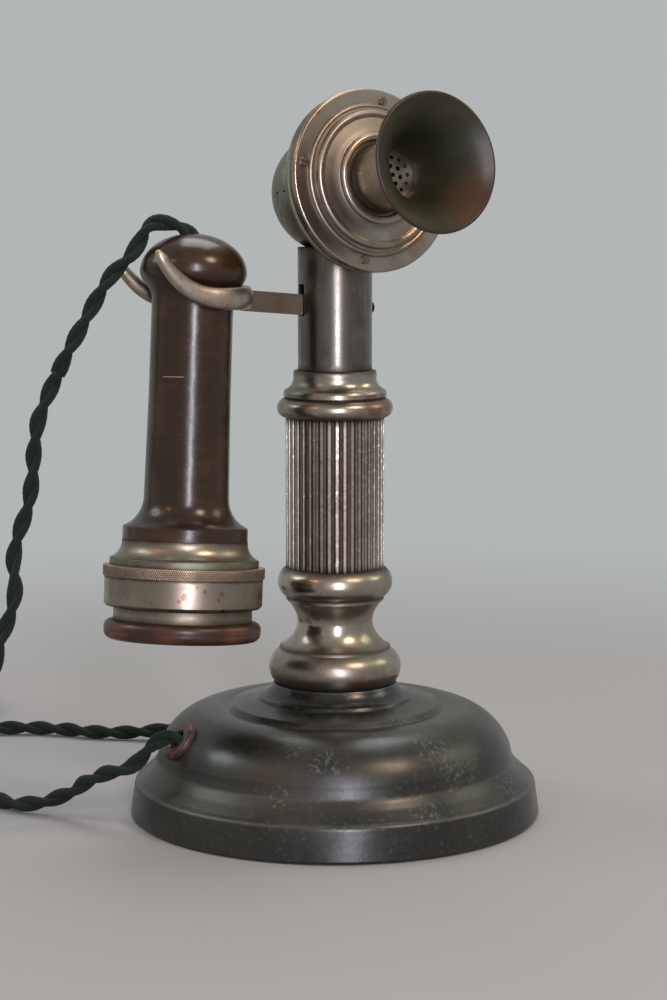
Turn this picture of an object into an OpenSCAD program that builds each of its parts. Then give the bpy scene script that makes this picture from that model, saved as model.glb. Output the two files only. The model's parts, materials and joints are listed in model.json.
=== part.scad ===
// Desk telephone with a fluted column: the mouthpiece stands on a column over a round base, and
// the ear receiver hangs in a switch hook at the column's side.
// The origin is the centre of the base's underside, +Z is up and the hook points along -X.

/* [Base] */
// Outer radius of the base on the table
base_r = 79; // [74:0.5:84]
// Height of the black base shell
base_h = 51; // [48:0.5:56]
// Height of the upright band round the base
band_h = 13.4; // [11:0.2:16]
// Radius of the flat crown on top of the dome
crown_r = 41.5; // [38:0.5:44]
// How far the dome swells out from a straight slope
dome_swell = 7.5; // [6:0.25:8.5]
// Wall of the base shell
base_wall = 2.2; // [1.6:0.1:2.6]
// Thickness of the felt pad under the base
pad_t = 1.5; // [1:0.1:2]
// Thickness of the steel bottom plate
plate_t = 1.4; // [1:0.1:2]
// Height of the cord grommets above the table
grommet_z = 33; // [30:0.5:35]
// Outer radius of a cord grommet
grommet_r = 7.8; // [6.5:0.1:8.5]
// Angle round the base from the hook to the line cord
line_cord_turn = 105; // [98:1:112]

/* [Column] */
// Height of the turned foot, without its bead
foot_h = 33.4; // [31:0.2:38]
// Radius of the foot's bulb where it meets the base
foot_r = 23.2; // [22:0.1:24.5]
// Radius of the waist of the foot
waist_r = 14.4; // [13.6:0.1:15.2]
// Height of the bead between foot and shaft
bead_h = 11.3; // [9:0.1:13]
// Outer radius of the fluted shaft
shaft_r = 18.8; // [17.8:0.1:19.4]
// Length of the fluted shaft
shaft_h = 57.6; // [45:0.2:70]
// Number of flutes round the shaft
flutes = 40; // [24:1:44]
// Depth of a flute
flute_depth = 0.9; // [0.5:0.05:1.2]
// Height of the collar over the shaft
collar_h = 17.8; // [16:0.1:20]
// Outer radius of the stem tube
stem_r = 14.1; // [13.8:0.1:14.5]
// Wall of the stem tube
stem_wall = 1.4; // [1.1:0.1:1.6]
// Bare length of the stem tube over the collar
stem_bare_h = 46.4; // [43:0.1:54]

/* [Transmitter] */
// Outer radius of the round cup that holds the works
ball_r = 22.8; // [21.5:0.1:23.5]
// How far the cup's centre lies behind the column's axis
ball_back = 2.1; // [1:0.1:3]
// How far the mouthpiece is turned from straight ahead
head_yaw = 7; // [0:1:40]
// How far the mouthpiece looks up at rest
head_tilt = 8.5; // [7:0.5:16]
// Radius of the face plate
face_r = 33.8; // [33:0.1:35.5]
// Distance from the cup's centre to the flat rim of the face plate
face_s = 28.3; // [27:0.1:30]
// Thickness of the stamped face plate
face_t = 1.2; // [0.9:0.1:1.5]
// Outer radius of the metal neck behind the mouthpiece
neck_r = 12.1; // [11.6:0.1:12.6]
// Length of the metal neck in front of the face plate's rim
neck_len = 22.8; // [21:0.2:24]
// Radius of the mouthpiece at its lip
horn_r = 25.4; // [24:0.1:28]
// Distance from the face plate's rim to the mouthpiece's lip
horn_len = 42.5; // [40:0.5:48]
// Radius of the perforated disc in the mouthpiece
grille_r = 8.7; // [8.2:0.1:9]

/* [Receiver] */
// Length of the handle from its foot to its top
handle_len = 112.6; // [104:0.2:125]
// Radius of the bulb that hangs in the fork
bulb_r = 19.7; // [19.2:0.1:20.4]
// Radius of the handle under the bulb
grip_r = 15; // [14.2:0.1:15.4]
// Radius of the handle's flange
flange_r = 23.1; // [22:0.1:24]
// Height of the coved metal ferrule
ferrule_h = 9.4; // [8.4:0.1:11]
// Radius of the receiver's metal cup
cup_r = 29.2; // [28.5:0.1:30.5]
// Height of the cup's plain band
cup_band_h = 10.9; // [9:0.1:13]
// Height of the knurled ring
knurl_h = 4.2; // [3.6:0.1:5.2]
// Height of the groove between the cup and the ear cap
cup_groove_h = 5; // [4:0.1:6.5]
// Thickness of the ear cap
ear_cap_h = 7.2; // [6.8:0.1:9]
// Lean of the hanging receiver away from the column
lean_out = 4.25; // [2:0.25:5]
// Lean of the hanging receiver to the side
lean_side = 4.6; // [2:0.2:5]

/* [Switch hook] */
// Distance from the column's axis to the middle of the fork
fork_reach = 57.6; // [55:0.2:62]
// Gap between the prongs of the fork
fork_gap = 34.2; // [33.8:0.1:35]
// Height that the prongs climb from the arm to their tips
fork_rise = 18; // [14:0.5:20]
// Height of the flat arm
arm_h = 7.8; // [6.8:0.1:8.2]
// Thickness of the flat arm
arm_t = 3.4; // [2.8:0.1:3.8]
// Slope of the arm at rest
arm_slope = 5; // [4:0.5:6]
// How far the hook turns up when the receiver is lifted off
hook_travel = 10; // [8:0.5:10.5]
// Depth of the hook's pivot under the top of the stem
pivot_drop = 23; // [22.6:0.1:25.6]

/* [Cords] */
// Diameter of the twisted cords over both strands
cord_d = 6.2; // [5.4:0.1:6.4]
// Middle radius of the outermost turn of the line cord's coil
line_coil_r = 48; // [46:0.5:50]
// Number of turns in the line cord's coil
line_coil_turns = 6.25; // [4.25:1:6.25]
// Middle radius of the outermost turn of the receiver cord's coil
ear_coil_r = 40; // [38:0.5:41]

/* [Hidden] */
$fn = 72;

// Clearances shared by every seat
seat_gap = 0.3;   // between pieces of different bodies, and under loose parts
fit_gap = 0.05;   // radial clearance of pins, spigots and screws
// Small turned details shared by several pieces
screw_r = 1.5;    // shank of the small machine screws
thread_r = 1.55;  // hole that takes such a screw

// Heights of the column's seats
foot_z = base_h;
bead_z = foot_z + foot_h;
shaft_z = bead_z + bead_h;
collar_z = shaft_z + shaft_h;
stem_top = collar_z + collar_h + stem_bare_h;
stem_seat = 3;                       // depth of the stem's seat in the foot
stem_bore = stem_r - stem_wall;
spigot_r = 11;                       // threaded spigot of the foot, through the base's crown
spigot_h = 15;
nut_h = 6.5;
crown_t = base_wall + 0.4;           // thickness of the shell under the foot

// Circular arc from p to q in n steps, bulging by b to the right of the way from p to q
function arc_radius(p, q, b) = (pow(norm(q - p), 2) / 4 + b * b) / (2 * abs(b));
function arc_centre(p, q, b) = let (d = q - p, side = [d.y, -d.x] / norm(d))
    (p + q) / 2 + side * (b - sign(b) * arc_radius(p, q, b));
function arc(p, q, b, n = 8) = let (c = arc_centre(p, q, b), r = arc_radius(p, q, b),
    a0 = atan2(p.y - c.y, p.x - c.x), a1 = atan2(q.y - c.y, q.x - c.x),
    turn = (a1 - a0 + 540) % 360 - 180)
    [for (i = [0:n]) c + r * [cos(a0 + turn * i / n), sin(a0 + turn * i / n)]];
module turned(outline) rotate_extrude() polygon(outline);

// Tube of elliptical rings along a route: sizes gives each ring's half width and half height,
// and ref is a direction that the route never runs along
function along(route, i) = let (n = len(route) - 1,
    d = route[min(i + 1, n)] - route[max(i - 1, 0)]) d / norm(d);
function ring(route, size, ref, i, sides) = let (t = along(route, i),
    u = cross(t, ref) / norm(cross(t, ref)), v = cross(u, t))
    [for (k = [0:sides - 1]) let (a = 360 * (k + 0.5) / sides)
        route[i] + u * size.x * cos(a) + v * size.y * sin(a)];
module swept(route, sizes, ref, sides) {
    n = len(route);
    points = [for (i = [0:n - 1]) each ring(route, sizes[i], ref, i, sides)];
    walls = [for (i = [0:n - 2], k = [0:sides - 1]) let (a = i * sides + k,
        b = i * sides + (k + 1) % sides) each [[a, b, b + sides], [a, b + sides, a + sides]]];
    ends = [[for (k = [sides - 1:-1:0]) k], [for (k = [0:sides - 1]) (n - 1) * sides + k]];
    polyhedron(points = points, faces = concat(walls, ends), convexity = 6);
}

// ---------------------------------------------------------------- base
lip_in = 1.7;          // how far the top of the band lies inside the base radius
rim_z = 0.5;           // the pad stands this far out under the shell
shoulder = [base_r - 10.1, band_h + 7.9];
crown = [crown_r, base_h - 9.9];
dome_mid = arc_centre(crown, shoulder, -dome_swell);
dome_rad = arc_radius(crown, shoulder, -dome_swell);
// Place and slope of a grommet on the dome
grommet_at = dome_mid.x + sqrt(pow(dome_rad, 2) - pow(grommet_z - dome_mid.y, 2));
grommet_tip = atan2(grommet_z - dome_mid.y, grommet_at - dome_mid.x);
grommet_hole = 5.4;
cord_hole = 3.6;
boss_at = 56;          // distance of the three screw bosses from the axis
boss_r = 4.5;

// Outline of the shell's surface, from the crown's hole to the rim, inset by w
function shell_line(w) = concat(
    [[spigot_r + fit_gap, base_h - (w > 0 ? crown_t : 0)],
     [23.6 - w, base_h - (w > 0 ? crown_t : 0)]],
    arc([23.8 - 0.6 * w, base_h - 0.3 - w], [29.6 - 0.6 * w, base_h - 5 - w], 0.9),
    [[30.2 - 0.4 * w, base_h - 6 - w], [crown_r - 1.8 - 0.4 * w, base_h - 8 - w]],
    arc(crown - [0.4, 1] * w, shoulder - [1, 0.5] * w, -dome_swell, 14),
    [[base_r - 3.6 - w, band_h + 1.1 - 0.5 * w], [base_r - lip_in - w, band_h - 0.2 - 0.5 * w],
     [base_r - 0.1 - w, 1.4], [base_r - 0.5 - w, rim_z]]);
module on_dome(turn) rotate([0, 0, 180 - turn]) translate([grommet_at, 0, grommet_z])
    rotate([0, 90 - grommet_tip, 0]) children();
module at_bosses() for (a = [30:120:270]) rotate([0, 0, a]) translate([boss_at, 0, 0]) children();

module base_shell() color("#26282b") {
    inner = shell_line(base_wall);
    difference() {
        turned(concat(shell_line(0), [for (i = [len(inner) - 1:-1:0]) inner[i]]));
        for (turn = [0, line_cord_turn]) on_dome(turn) translate([0, 0, -10])
            cylinder(r = grommet_hole + fit_gap, h = 20);
    }
    // Three bosses inside take the bottom plate's screws
    difference() {
        intersection() {
            at_bosses() translate([0, 0, pad_t + plate_t + fit_gap]) cylinder(r = boss_r, h = base_h);
            turned(concat(shell_line(base_wall / 2), [[0, rim_z], [0, base_h - crown_t]]));
        }
        at_bosses() cylinder(r = thread_r, h = 18);
    }
}
module base_pad() color("#2c3a30") difference() {
    cylinder(r = base_r - base_wall - 0.9, h = pad_t);
    at_bosses() translate([0, 0, -1]) cylinder(r = 4.2, h = pad_t + 2);
}
module base_plate() color("#5b5d5c") difference() {
    translate([0, 0, pad_t]) cylinder(r = base_r - base_wall - 0.5, h = plate_t);
    at_bosses() translate([0, 0, pad_t - 1]) cylinder(r = screw_r + 0.2, h = plate_t + 2);
}
plate_screw_l = 13;
plate_head_r = 3.6;
module base_plate_screws() color("#8a8474") at_bosses() {
    translate([0, 0, pad_t]) cylinder(r = screw_r, h = plate_screw_l);
    difference() {
        translate([0, 0, 0.3]) cylinder(r = plate_head_r, h = pad_t - 0.3);
        translate([-4, -0.4, 0]) cube([8, 0.8, 0.8]);
    }
}
module grommet() turned(concat([[cord_hole, 1.6], [cord_hole + 0.5, 2.2]],
    arc([grommet_r - 1.6, 2.2], [grommet_r, 0.3], -0.6, 5),
    [[grommet_r, -0.35], [grommet_hole, -0.16], [grommet_hole, -base_wall - 1.2],
     [cord_hole, -base_wall - 1.2]]));
module receiver_cord_grommet() color("#3a2a22") on_dome(0) grommet();
module line_cord_grommet() color("#3a2a22") on_dome(line_cord_turn) grommet();

// Terminal strip on the bottom plate, where the cords' wires are joined
block = [46, 16, 5];
block_y = 30;
function terminal_x(i) = -16.5 + 11 * i;
module terminal_block() color("#5a3a22") difference() {
    translate([-block.x / 2, block_y - block.y / 2, pad_t + plate_t]) cube(block);
    for (i = [0:3]) translate([terminal_x(i), block_y, pad_t + plate_t + 1])
        cylinder(r = thread_r, h = block.z);
}
module terminal_screws() color("#c2a24e") for (i = [0:3])
    translate([terminal_x(i), block_y, pad_t + plate_t + block.z]) {
        translate([0, 0, 1 - block.z]) cylinder(r = screw_r, h = block.z);
        cylinder(r = 3.6, h = 0.8);
        difference() {
            cylinder(r = 2.8, h = 2.6);
            translate([-3, -0.4, 1.9]) cube([6, 0.8, 1]);
        }
    }
module column_nut() color("#b39850") translate([0, 0, base_h - crown_t - nut_h]) difference() {
    cylinder(r = spigot_r + 6.5, h = nut_h, $fn = 6);
    translate([0, 0, -1]) cylinder(r = spigot_r + fit_gap, h = nut_h + 2);
}

// ---------------------------------------------------------------- column
module column_foot() color("#a79f90") {
    bore = 8.5;
    lip = [foot_r - 1.9, foot_h - 19.4];
    translate([0, 0, foot_z]) turned(concat(
        [[bore, -spigot_h], [spigot_r, -spigot_h], [spigot_r, 0], [foot_r - 0.5, 0]],
        arc([foot_r, 0.5], [lip.x + 0.1, lip.y - 1], 3.1, 12),
        arc(lip, [waist_r, foot_h - 9.8], -1.5, 10),
        arc([waist_r, foot_h - 9.8], [shaft_r, foot_h - 1.2], -1, 10),
        [[shaft_r, foot_h], [stem_r + fit_gap, foot_h],
         [stem_r + fit_gap, foot_h - stem_seat], [bore, foot_h - stem_seat]]));
}
module lower_bead() color("#aca290") translate([0, 0, bead_z]) turned(concat(
    [[stem_r + fit_gap, 0]], arc([shaft_r, 0], [shaft_r, bead_h], 3.2, 12),
    [[stem_r + fit_gap, bead_h]]));
module fluted_shaft() color("#8d8779") {
    flute_w = 0.66 * 2 * PI * shaft_r / flutes;
    flute_rad = (flute_w * flute_w / 4 + flute_depth * flute_depth) / (2 * flute_depth);
    translate([0, 0, shaft_z]) linear_extrude(height = shaft_h) difference() {
        circle(r = shaft_r);
        for (i = [0:flutes - 1]) rotate(360 * i / flutes)
            translate([shaft_r - flute_depth + flute_rad, 0]) circle(r = flute_rad, $fn = 24);
        circle(r = stem_r + fit_gap);
    }
}
// Collar over the shaft: a bead, a fillet and a cove that closes on the stem
module upper_collar() color("#a79d8c") translate([0, 0, collar_z]) {
    bead = shaft_r + 0.7;
    cove = 0.4 * collar_h;
    turned(concat(
        [[stem_r + fit_gap, 0]], arc([bead, 0], [bead, cove], 2.6, 10),
        [[bead - 0.4, cove + 0.3], [bead + 0.1, cove + 0.8], [bead + 0.1, cove + 2.4]],
        arc([bead - 0.4, cove + 3.2], [stem_r + 1.8, collar_h - 1.8], -1.2, 8),
        [[stem_r + 1.6, collar_h - 0.5], [stem_r + 1.2, collar_h], [stem_r + fit_gap, collar_h]]));
}

// ---------------------------------------------------------------- switch in the stem
pivot = [4, 0, stem_top - pivot_drop];
arm_reach = fork_reach - fork_gap / 2 - 2.5;       // where the arm ends, in the fork
slot_w = arm_t + 1.2;
// Height of the arm's middle at a distance from the column's axis, turned up by a
function arm_z(x, a) = pivot.z + (x + pivot.x) * tan(arm_slope + a);
slot_low = arm_z(stem_bore, 0) - arm_h / 2 / cos(arm_slope) - 0.25;
slot_high = arm_z(stem_r, hook_travel) + arm_h / 2 / cos(arm_slope + hook_travel) + 0.4;
bracket_x = 10;
bracket_t = 1.4;
cheek_y = 4.8;
pin_r = 1.5;
stack_z = pivot.z - 38;
tail_h = 12;
module stem_tube() color("#6f6c66") difference() {
    translate([0, 0, bead_z - stem_seat]) cylinder(r = stem_r, h = stem_top - bead_z + stem_seat);
    translate([0, 0, foot_z]) cylinder(r = stem_bore, h = stem_top);
    translate([-stem_r - 5, -slot_w / 2, slot_low]) cube([stem_r, slot_w, slot_high - slot_low]);
    translate([0, 0, pivot.z]) rotate([0, 90, 0]) cylinder(r = thread_r, h = stem_r + 5);
}
bracket_w = 10;
cheek_w = 12;
module switch_bracket() color("#b8a468") difference() {
    union() {
        translate([bracket_x, -bracket_w / 2, stack_z - 3])
            cube([bracket_t, bracket_w, pivot.z + cheek_w / 2 - stack_z + 3]);
        translate([bracket_x + 0.5, 0, pivot.z]) rotate([0, 90, 0]) cylinder(r = 3, h = 1.8);
        for (side = [-1, 1]) translate([-1, side * (cheek_y + 0.5) - 0.5, pivot.z - cheek_w / 2])
            cube([bracket_x + 1.5, 1, cheek_w]);
    }
    translate([bracket_x - 1, 0, pivot.z]) rotate([0, 90, 0]) cylinder(r = thread_r, h = 5);
    translate([pivot.x, -8, pivot.z]) rotate([-90, 0, 0]) cylinder(r = pin_r + 0.01, h = 16);
}
module bracket_screw() color("#1d1c1b") translate([0, 0, pivot.z]) rotate([0, 90, 0]) {
    translate([0, 0, bracket_x - 0.6]) cylinder(r = screw_r, h = stem_r - bracket_x + 1);
    translate([0, 0, stem_r]) turned(concat([[0, 0], [2.3, 0]], arc([2.3, 0.3], [1, 2], 0.5, 5),
        [[0, 2]]));
}
module hook_pivot_pin() color("#9c9a94") translate([pivot.x, -6.2, pivot.z])
    rotate([-90, 0, 0]) cylinder(r = pin_r, h = 12.4);
// Spring wound round the pin, with one leg along the bracket and one under the arm
module hook_spring() color("#8a8c8e") {
    wire = 0.25;
    coil = 3;
    turns = 2.25;
    pitch = 0.95;
    steps = 27;
    side = arm_t / 2 + wire + seat_gap;
    low = arm_h / 2 + wire + 0.2;
    route = concat(
        [[-7.5, -1, -low], [-6.2, 0.9, -low + 0.1], [-3.6, side, -coil - 0.2]],
        [for (i = [0:steps]) let (a = -90 + 360 * turns * i / steps)
            [coil * cos(a), side + pitch * turns * i / steps, coil * sin(a)]],
        [for (z = [2.5, 5]) [coil, side + pitch * turns, z]]);
    translate(pivot) swept(route, [for (p = route) [wire, wire]], [0.1, 1, 0.2], 6);
}
// Leaf springs clamped between fibre washers; the arm's tail holds the nearest one back
leaf_t = 0.4;
washer_t = 1.2;
function leaf_x(i) = bracket_x - (i + 1) * (leaf_t + washer_t);
module contact_springs() color("#c9b26a") for (i = [0:2])
    translate([leaf_x(i), -2.5, stack_z + 1]) cube([leaf_t, 5, pivot.z - 5 - stack_z - 2 * i]);
module contact_insulators() color("#4b2f1c") for (i = [0:2])
    translate([leaf_x(i) + leaf_t, -3.5, stack_z]) cube([washer_t, 7, 9]);
module hook_lever() color("#6e5a50") translate(pivot) rotate([0, arm_slope, 0]) difference() {
    union() {
        translate([-arm_reach - pivot.x, -arm_t / 2, -arm_h / 2]) cube([arm_reach + pivot.x, arm_t, arm_h]);
        rotate([-90, 0, 0]) translate([0, 0, -arm_t / 2]) cylinder(r = 4.2, h = arm_t);
        rotate([0, -arm_slope, 0]) translate([leaf_x(2) - pivot.x - 0.1 - 2.6, -arm_t / 2, -tail_h])
            cube([2.6, arm_t, tail_h]);
    }
    rotate([-90, 0, 0]) translate([0, 0, -arm_t]) cylinder(r = pin_r + 0.03, h = 2 * arm_t);
}
// The fork: a forged U that lies level round the receiver's neck and climbs to its tips
prong_w = 5;
prong_h = 8.7;
fork_r = (fork_gap + prong_w) / 2;
prong_len = 22;
climb_from = 13.2;                       // the prongs start to climb this far before the neck
fork_z = arm_z(fork_reach - fork_r, 0) + 1.4;
// Points of the fork's middle line: u runs from -1 at one tip over 0 at the arm to 1
fork_bend = fork_r * PI / 2;
fork_half = fork_bend + prong_len;
function fork_point(u) = let (s = abs(u) * fork_half, a = min(s / fork_r * 180 / PI, 90),
    out = max(s - fork_bend, 0), x = fork_reach - fork_r * cos(a) + out,
    climb = pow(max((x - fork_reach + climb_from) / (prong_len + climb_from), 0), 3.4))
    [-x, sign(u) * (fork_r * sin(a) + 0.8 * pow(out / prong_len, 2)), fork_z + fork_rise * climb];
function fork_size(u) = let (s = abs(u) * fork_half, tip = max((s - fork_half + 2.6) / 2.6, 0),
    slim = 1 - 0.55 * pow(s / fork_half, 2.8), close = sqrt(1 - 0.98 * tip * tip))
    [prong_w / 2 * (1 - 0.12 * pow(s / fork_half, 2)) * close, prong_h / 2 * slim * close];
// Rings stand closer together towards the rounded tips
fork_steps = [for (i = [-21:21]) 0.25 * i / 21 + 0.75 * sin(90 * i / 21)];
module hook_fork() color("#9a9184") difference() {
    swept([for (u = fork_steps) fork_point(u)], [for (u = fork_steps) fork_size(u)], [0.02, 0.01, 1], 16);
    translate(pivot) rotate([0, arm_slope, 0]) translate([-arm_reach - pivot.x - 0.02, -arm_t / 2 - 0.02,
        -arm_h / 2 - 0.02]) cube([arm_reach, arm_t + 0.04, arm_h + 0.04]);
}

// ---------------------------------------------------------------- transmitter
ball_clear = seat_gap;
head_z = stem_top + sqrt(pow(ball_r + ball_clear, 2) - pow(stem_bore - ball_back, 2));
head_dir = [sin(head_yaw), -cos(head_yaw), 0];
tongue_t = 5;
tongue_w = 12;
shell_t = 1.5;
trunnion_r = 2;
cup_waist = ball_r - 2.2;                  // cup between its round back and its flange
flange_s = face_s - face_t - 5.6;         // back of the cup's flange
recess_r = face_r - 6.4;                  // recess behind the face plate
bridge_screw_y = recess_r - 3.5;
// Frame whose +Z runs out of the mouthpiece from the cup's centre, +X down and +Y to the side
module head_frame(tilt = head_tilt) translate(-ball_back * head_dir + [0, 0, head_z])
    rotate([0, 0, head_yaw - 90]) rotate([0, 90 - tilt, 0]) children();
// A tongue soldered into the top of the stem carries the cup at its centre
plug_h = 7;
plug_z = stem_top - 4.5 - plug_h;
module stem_head() color("#7d786e") difference() {
    union() {
        translate([0, 0, plug_z]) cylinder(r = stem_bore - 0.01, h = plug_h);
        rotate([0, 0, head_yaw - 90]) {
            translate([-ball_back - tongue_w / 2, -tongue_t / 2, plug_z]) cube([tongue_w, tongue_t,
                head_z - plug_z]);
            translate([-ball_back, tongue_t / 2, head_z]) rotate([90, 0, 0])
                cylinder(r = tongue_w / 2, h = tongue_t);
        }
    }
    rotate([0, 0, head_yaw - 90]) {
        translate([-ball_back, 20, head_z]) rotate([90, 0, 0]) cylinder(r = trunnion_r + 0.03, h = 40);
        translate([3, 7.5, plug_z - 1]) cylinder(r = 2.6, h = plug_h + 2);
    }
}
module tilt_washers() color("#c8b070") head_frame() for (side = [-1, 1])
    translate([0, side * (tongue_t / 2 + 0.35), 0]) rotate([90, 0, 0]) difference() {
        cylinder(r = 5, h = 0.5, center = true);
        cylinder(r = trunnion_r + 0.03, h = 2, center = true);
    }
head_screw_h = 1.2;
head_screw_r = 3.1;
trunnion_end = sqrt(pow(ball_r, 2) - pow(head_screw_r + 0.1, 2));
module tilt_screw() color("#8b877c") head_frame() rotate([-90, 0, 0]) {
    translate([0, 0, -trunnion_end]) cylinder(r = trunnion_r, h = 2 * trunnion_end - 0.3);
    difference() {
        translate([0, 0, -trunnion_end]) cylinder(r = head_screw_r, h = head_screw_h);
        translate([-0.4, -4, -trunnion_end - 0.2]) cube([0.8, 8, 0.8]);
    }
}
module tilt_nut() color("#8b877c") head_frame() rotate([-90, 0, 0]) difference() {
    translate([0, 0, trunnion_end - head_screw_h]) cylinder(r = head_screw_r, h = head_screw_h);
    translate([0, 0, trunnion_end - 4]) cylinder(r = trunnion_r + fit_gap, h = 8);
}
boss_in = tongue_t / 2 + 0.7;
// The cup's slot lets it rock over the tongue, down and up from rest
tilt_down = 6;
tilt_up = 20;
slot_back = ball_r * sin(head_tilt + tilt_up) + tongue_w / 2 * cos(head_tilt + tilt_up) + 0.6;
slot_front = tongue_w / 2 + 0.6 - ball_r * sin(head_tilt - tilt_down);
module transmitter_cup() color("#7e7f70") head_frame() difference() {
    union() {
        difference() {
            union() {
                sphere(r = ball_r);
                turned(concat([[0, 0], [cup_waist, 0]],
                    arc([cup_waist, flange_s - 2.6], [cup_waist + 2.6, flange_s], -0.75, 5),
                    [[face_r - 1, flange_s]],
                    arc([face_r - 0.9, flange_s + 0.1], [face_r - 0.9, flange_s + 1.5], 0.4, 4),
                    [[face_r - 1.3, flange_s + 1.8], [face_r - 1.3, face_s - face_t],
                     [0, face_s - face_t]]));
            }
            sphere(r = ball_r - shell_t);
            turned([[0, 0], [cup_waist - shell_t, 0], [cup_waist - shell_t, flange_s + shell_t],
                [recess_r, flange_s + shell_t], [recess_r, face_s], [0, face_s]]);
        }
        for (side = [-90, 90]) rotate([side, 0, 0]) translate([0, 0, boss_in])
            cylinder(r = 4.6, h = ball_r - 0.8 - boss_in);
    }
    rotate([90, 0, 0]) cylinder(r = trunnion_r + fit_gap, h = 3 * ball_r, center = true);
    for (side = [-1, 1]) translate([0, side * (trunnion_end + 5 - head_screw_h - fit_gap), 0])
        rotate([90, 0, 0]) cylinder(r = 3.1 + fit_gap, h = 10, center = true);
    translate([5, -tongue_t / 2 - 0.6, -slot_back]) cube([ball_r, tongue_t + 1.2, slot_back + slot_front]);
    at_face_screws() translate([0, 0, face_s - face_t - 2.6]) cylinder(r = face_screw_r + fit_gap, h = 5);
    for (side = [-1, 1]) translate([0, side * bridge_screw_y, flange_s + 0.4]) cylinder(r = 1.1, h = 5);
}
// Turned face plate: flat screwed rim, two raised rings, a dish and a raised ring at the neck.
// Its back is flat on the cup's rim and the gasket, and hollow behind the dish
rim_up = 0.9;
neck_seat = 4.4;
dish = [face_r - 11.2, 3.6];
function neck_ring(d) = concat([[neck_r + 5.6, neck_seat - 0.1 - d]],
    arc([neck_r + 4.8, neck_seat + 0.2 - d], [neck_r + 1.9, neck_seat + 1.2 - d], 1.5, 8),
    [[neck_r + 1.6, neck_seat - d], [neck_r + fit_gap, neck_seat - d]]);
module transmitter_face() color("#99938a") head_frame() translate([0, 0, face_s]) {
    seat_in = recess_r - 2.6;
    back = neck_ring(face_t);
    difference() {
        turned(concat([[face_r, 0.1]], arc([face_r, 0.2], [face_r - 0.8, rim_up], 0.2, 4),
            arc([face_r - 5.6, rim_up], [face_r - 7.3, 2], 0.7, 8), [[face_r - 8.3, 2.1]],
            arc([face_r - 8.4, 2.3], [face_r - 10.6, 3.8], 1, 8), [dish],
            neck_ring(0), [for (i = [len(back) - 1:-1:0]) back[i]],
            [dish - [0.6, face_t], [seat_in, 1.4], [seat_in, -face_t], [face_r, -face_t]]));
        at_face_screws() translate([0, 0, -5]) cylinder(r = face_screw_r + 0.1, h = 10);
    }
}
face_screw_r = 1.1;
module at_face_screws() for (a = [12.7:90:300]) rotate([0, 0, 180 - a])
    translate([face_r - 3.9, 0, 0]) children();
module face_screws() color("#6d665c") head_frame() translate([0, 0, face_s + rim_up]) at_face_screws()
    difference() {
        union() {
            translate([0, 0, -4.5]) cylinder(r = face_screw_r, h = 5);
            cylinder(r = 1.6, h = 0.7);
        }
        translate([-3, -0.25, 0.35]) cube([6, 0.5, 1]);
    }
// Metal neck that the mouthpiece screws into
socket_end = face_s + neck_len;
socket_in = neck_r - 1;
module mouthpiece_socket() color("#8f8d88") head_frame() difference() {
    seat = face_s + neck_seat - face_t - fit_gap;
    turned([[socket_in, seat - 1.6], [neck_r + 1.5, seat - 1.6], [neck_r + 1.5, seat],
        [neck_r, seat], [neck_r, socket_end - 0.4], [neck_r - 0.4, socket_end],
        [socket_in, socket_end]]);
    set_screw_place() cylinder(r = 0.9, h = 6, center = true);
}
module set_screw_place() rotate([0, 0, -31]) translate([socket_in + 0.1, 0, face_s + 7.2])
    rotate([0, 90, 0]) children();
module socket_set_screw() color("#35322e") head_frame() set_screw_place()
    cylinder(r = 0.85, h = neck_r - socket_in - 0.2);
// Trumpet-shaped mouthpiece of hard rubber
horn_s = face_s + horn_len;
throat_s = socket_end - 9.5;               // front of the grille, within the neck
module mouthpiece() color("#3b2f26") head_frame() {
    shank = socket_in - fit_gap;
    turned(concat(
        [[grille_r - 1.9, face_s + 6], [shank, face_s + 6], [shank, socket_end + fit_gap],
         [neck_r + 0.3, socket_end + fit_gap], [neck_r + 0.4, socket_end + 1.6]],
        arc([neck_r + 0.2, socket_end + 2.2], [horn_r - 0.6, horn_s - 1.2], -1.9, 12),
        arc([horn_r, horn_s - 0.9], [horn_r - 1.4, horn_s - 0.2], 0.5, 5),
        arc([horn_r - 1.9, horn_s - 0.6], [grille_r + 1.2, socket_end], 2.6, 14),
        arc([grille_r + 1.1, socket_end - 0.6], [grille_r + 0.3, throat_s + 0.6], 0.2, 4),
        [[grille_r + 0.05, throat_s + 0.5], [grille_r + 0.05, throat_s - 0.6],
         [grille_r - 1.9, throat_s - 0.6]]));
}
module mouthpiece_grille() color("#a49d8f") head_frame() translate([0, 0, throat_s - 0.6]) difference() {
    cylinder(r = grille_r, h = 1);
    translate([0, 0, -1]) cylinder(r = 0.85, h = 3);
    for (i = [0:5]) rotate([0, 0, 60 * i + 15]) translate([3.3, 0, -1]) cylinder(r = 0.85, h = 3);
    for (i = [0:11]) rotate([0, 0, 30 * i]) translate([6.3, 0, -1]) cylinder(r = 0.75, h = 3);
}
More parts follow.
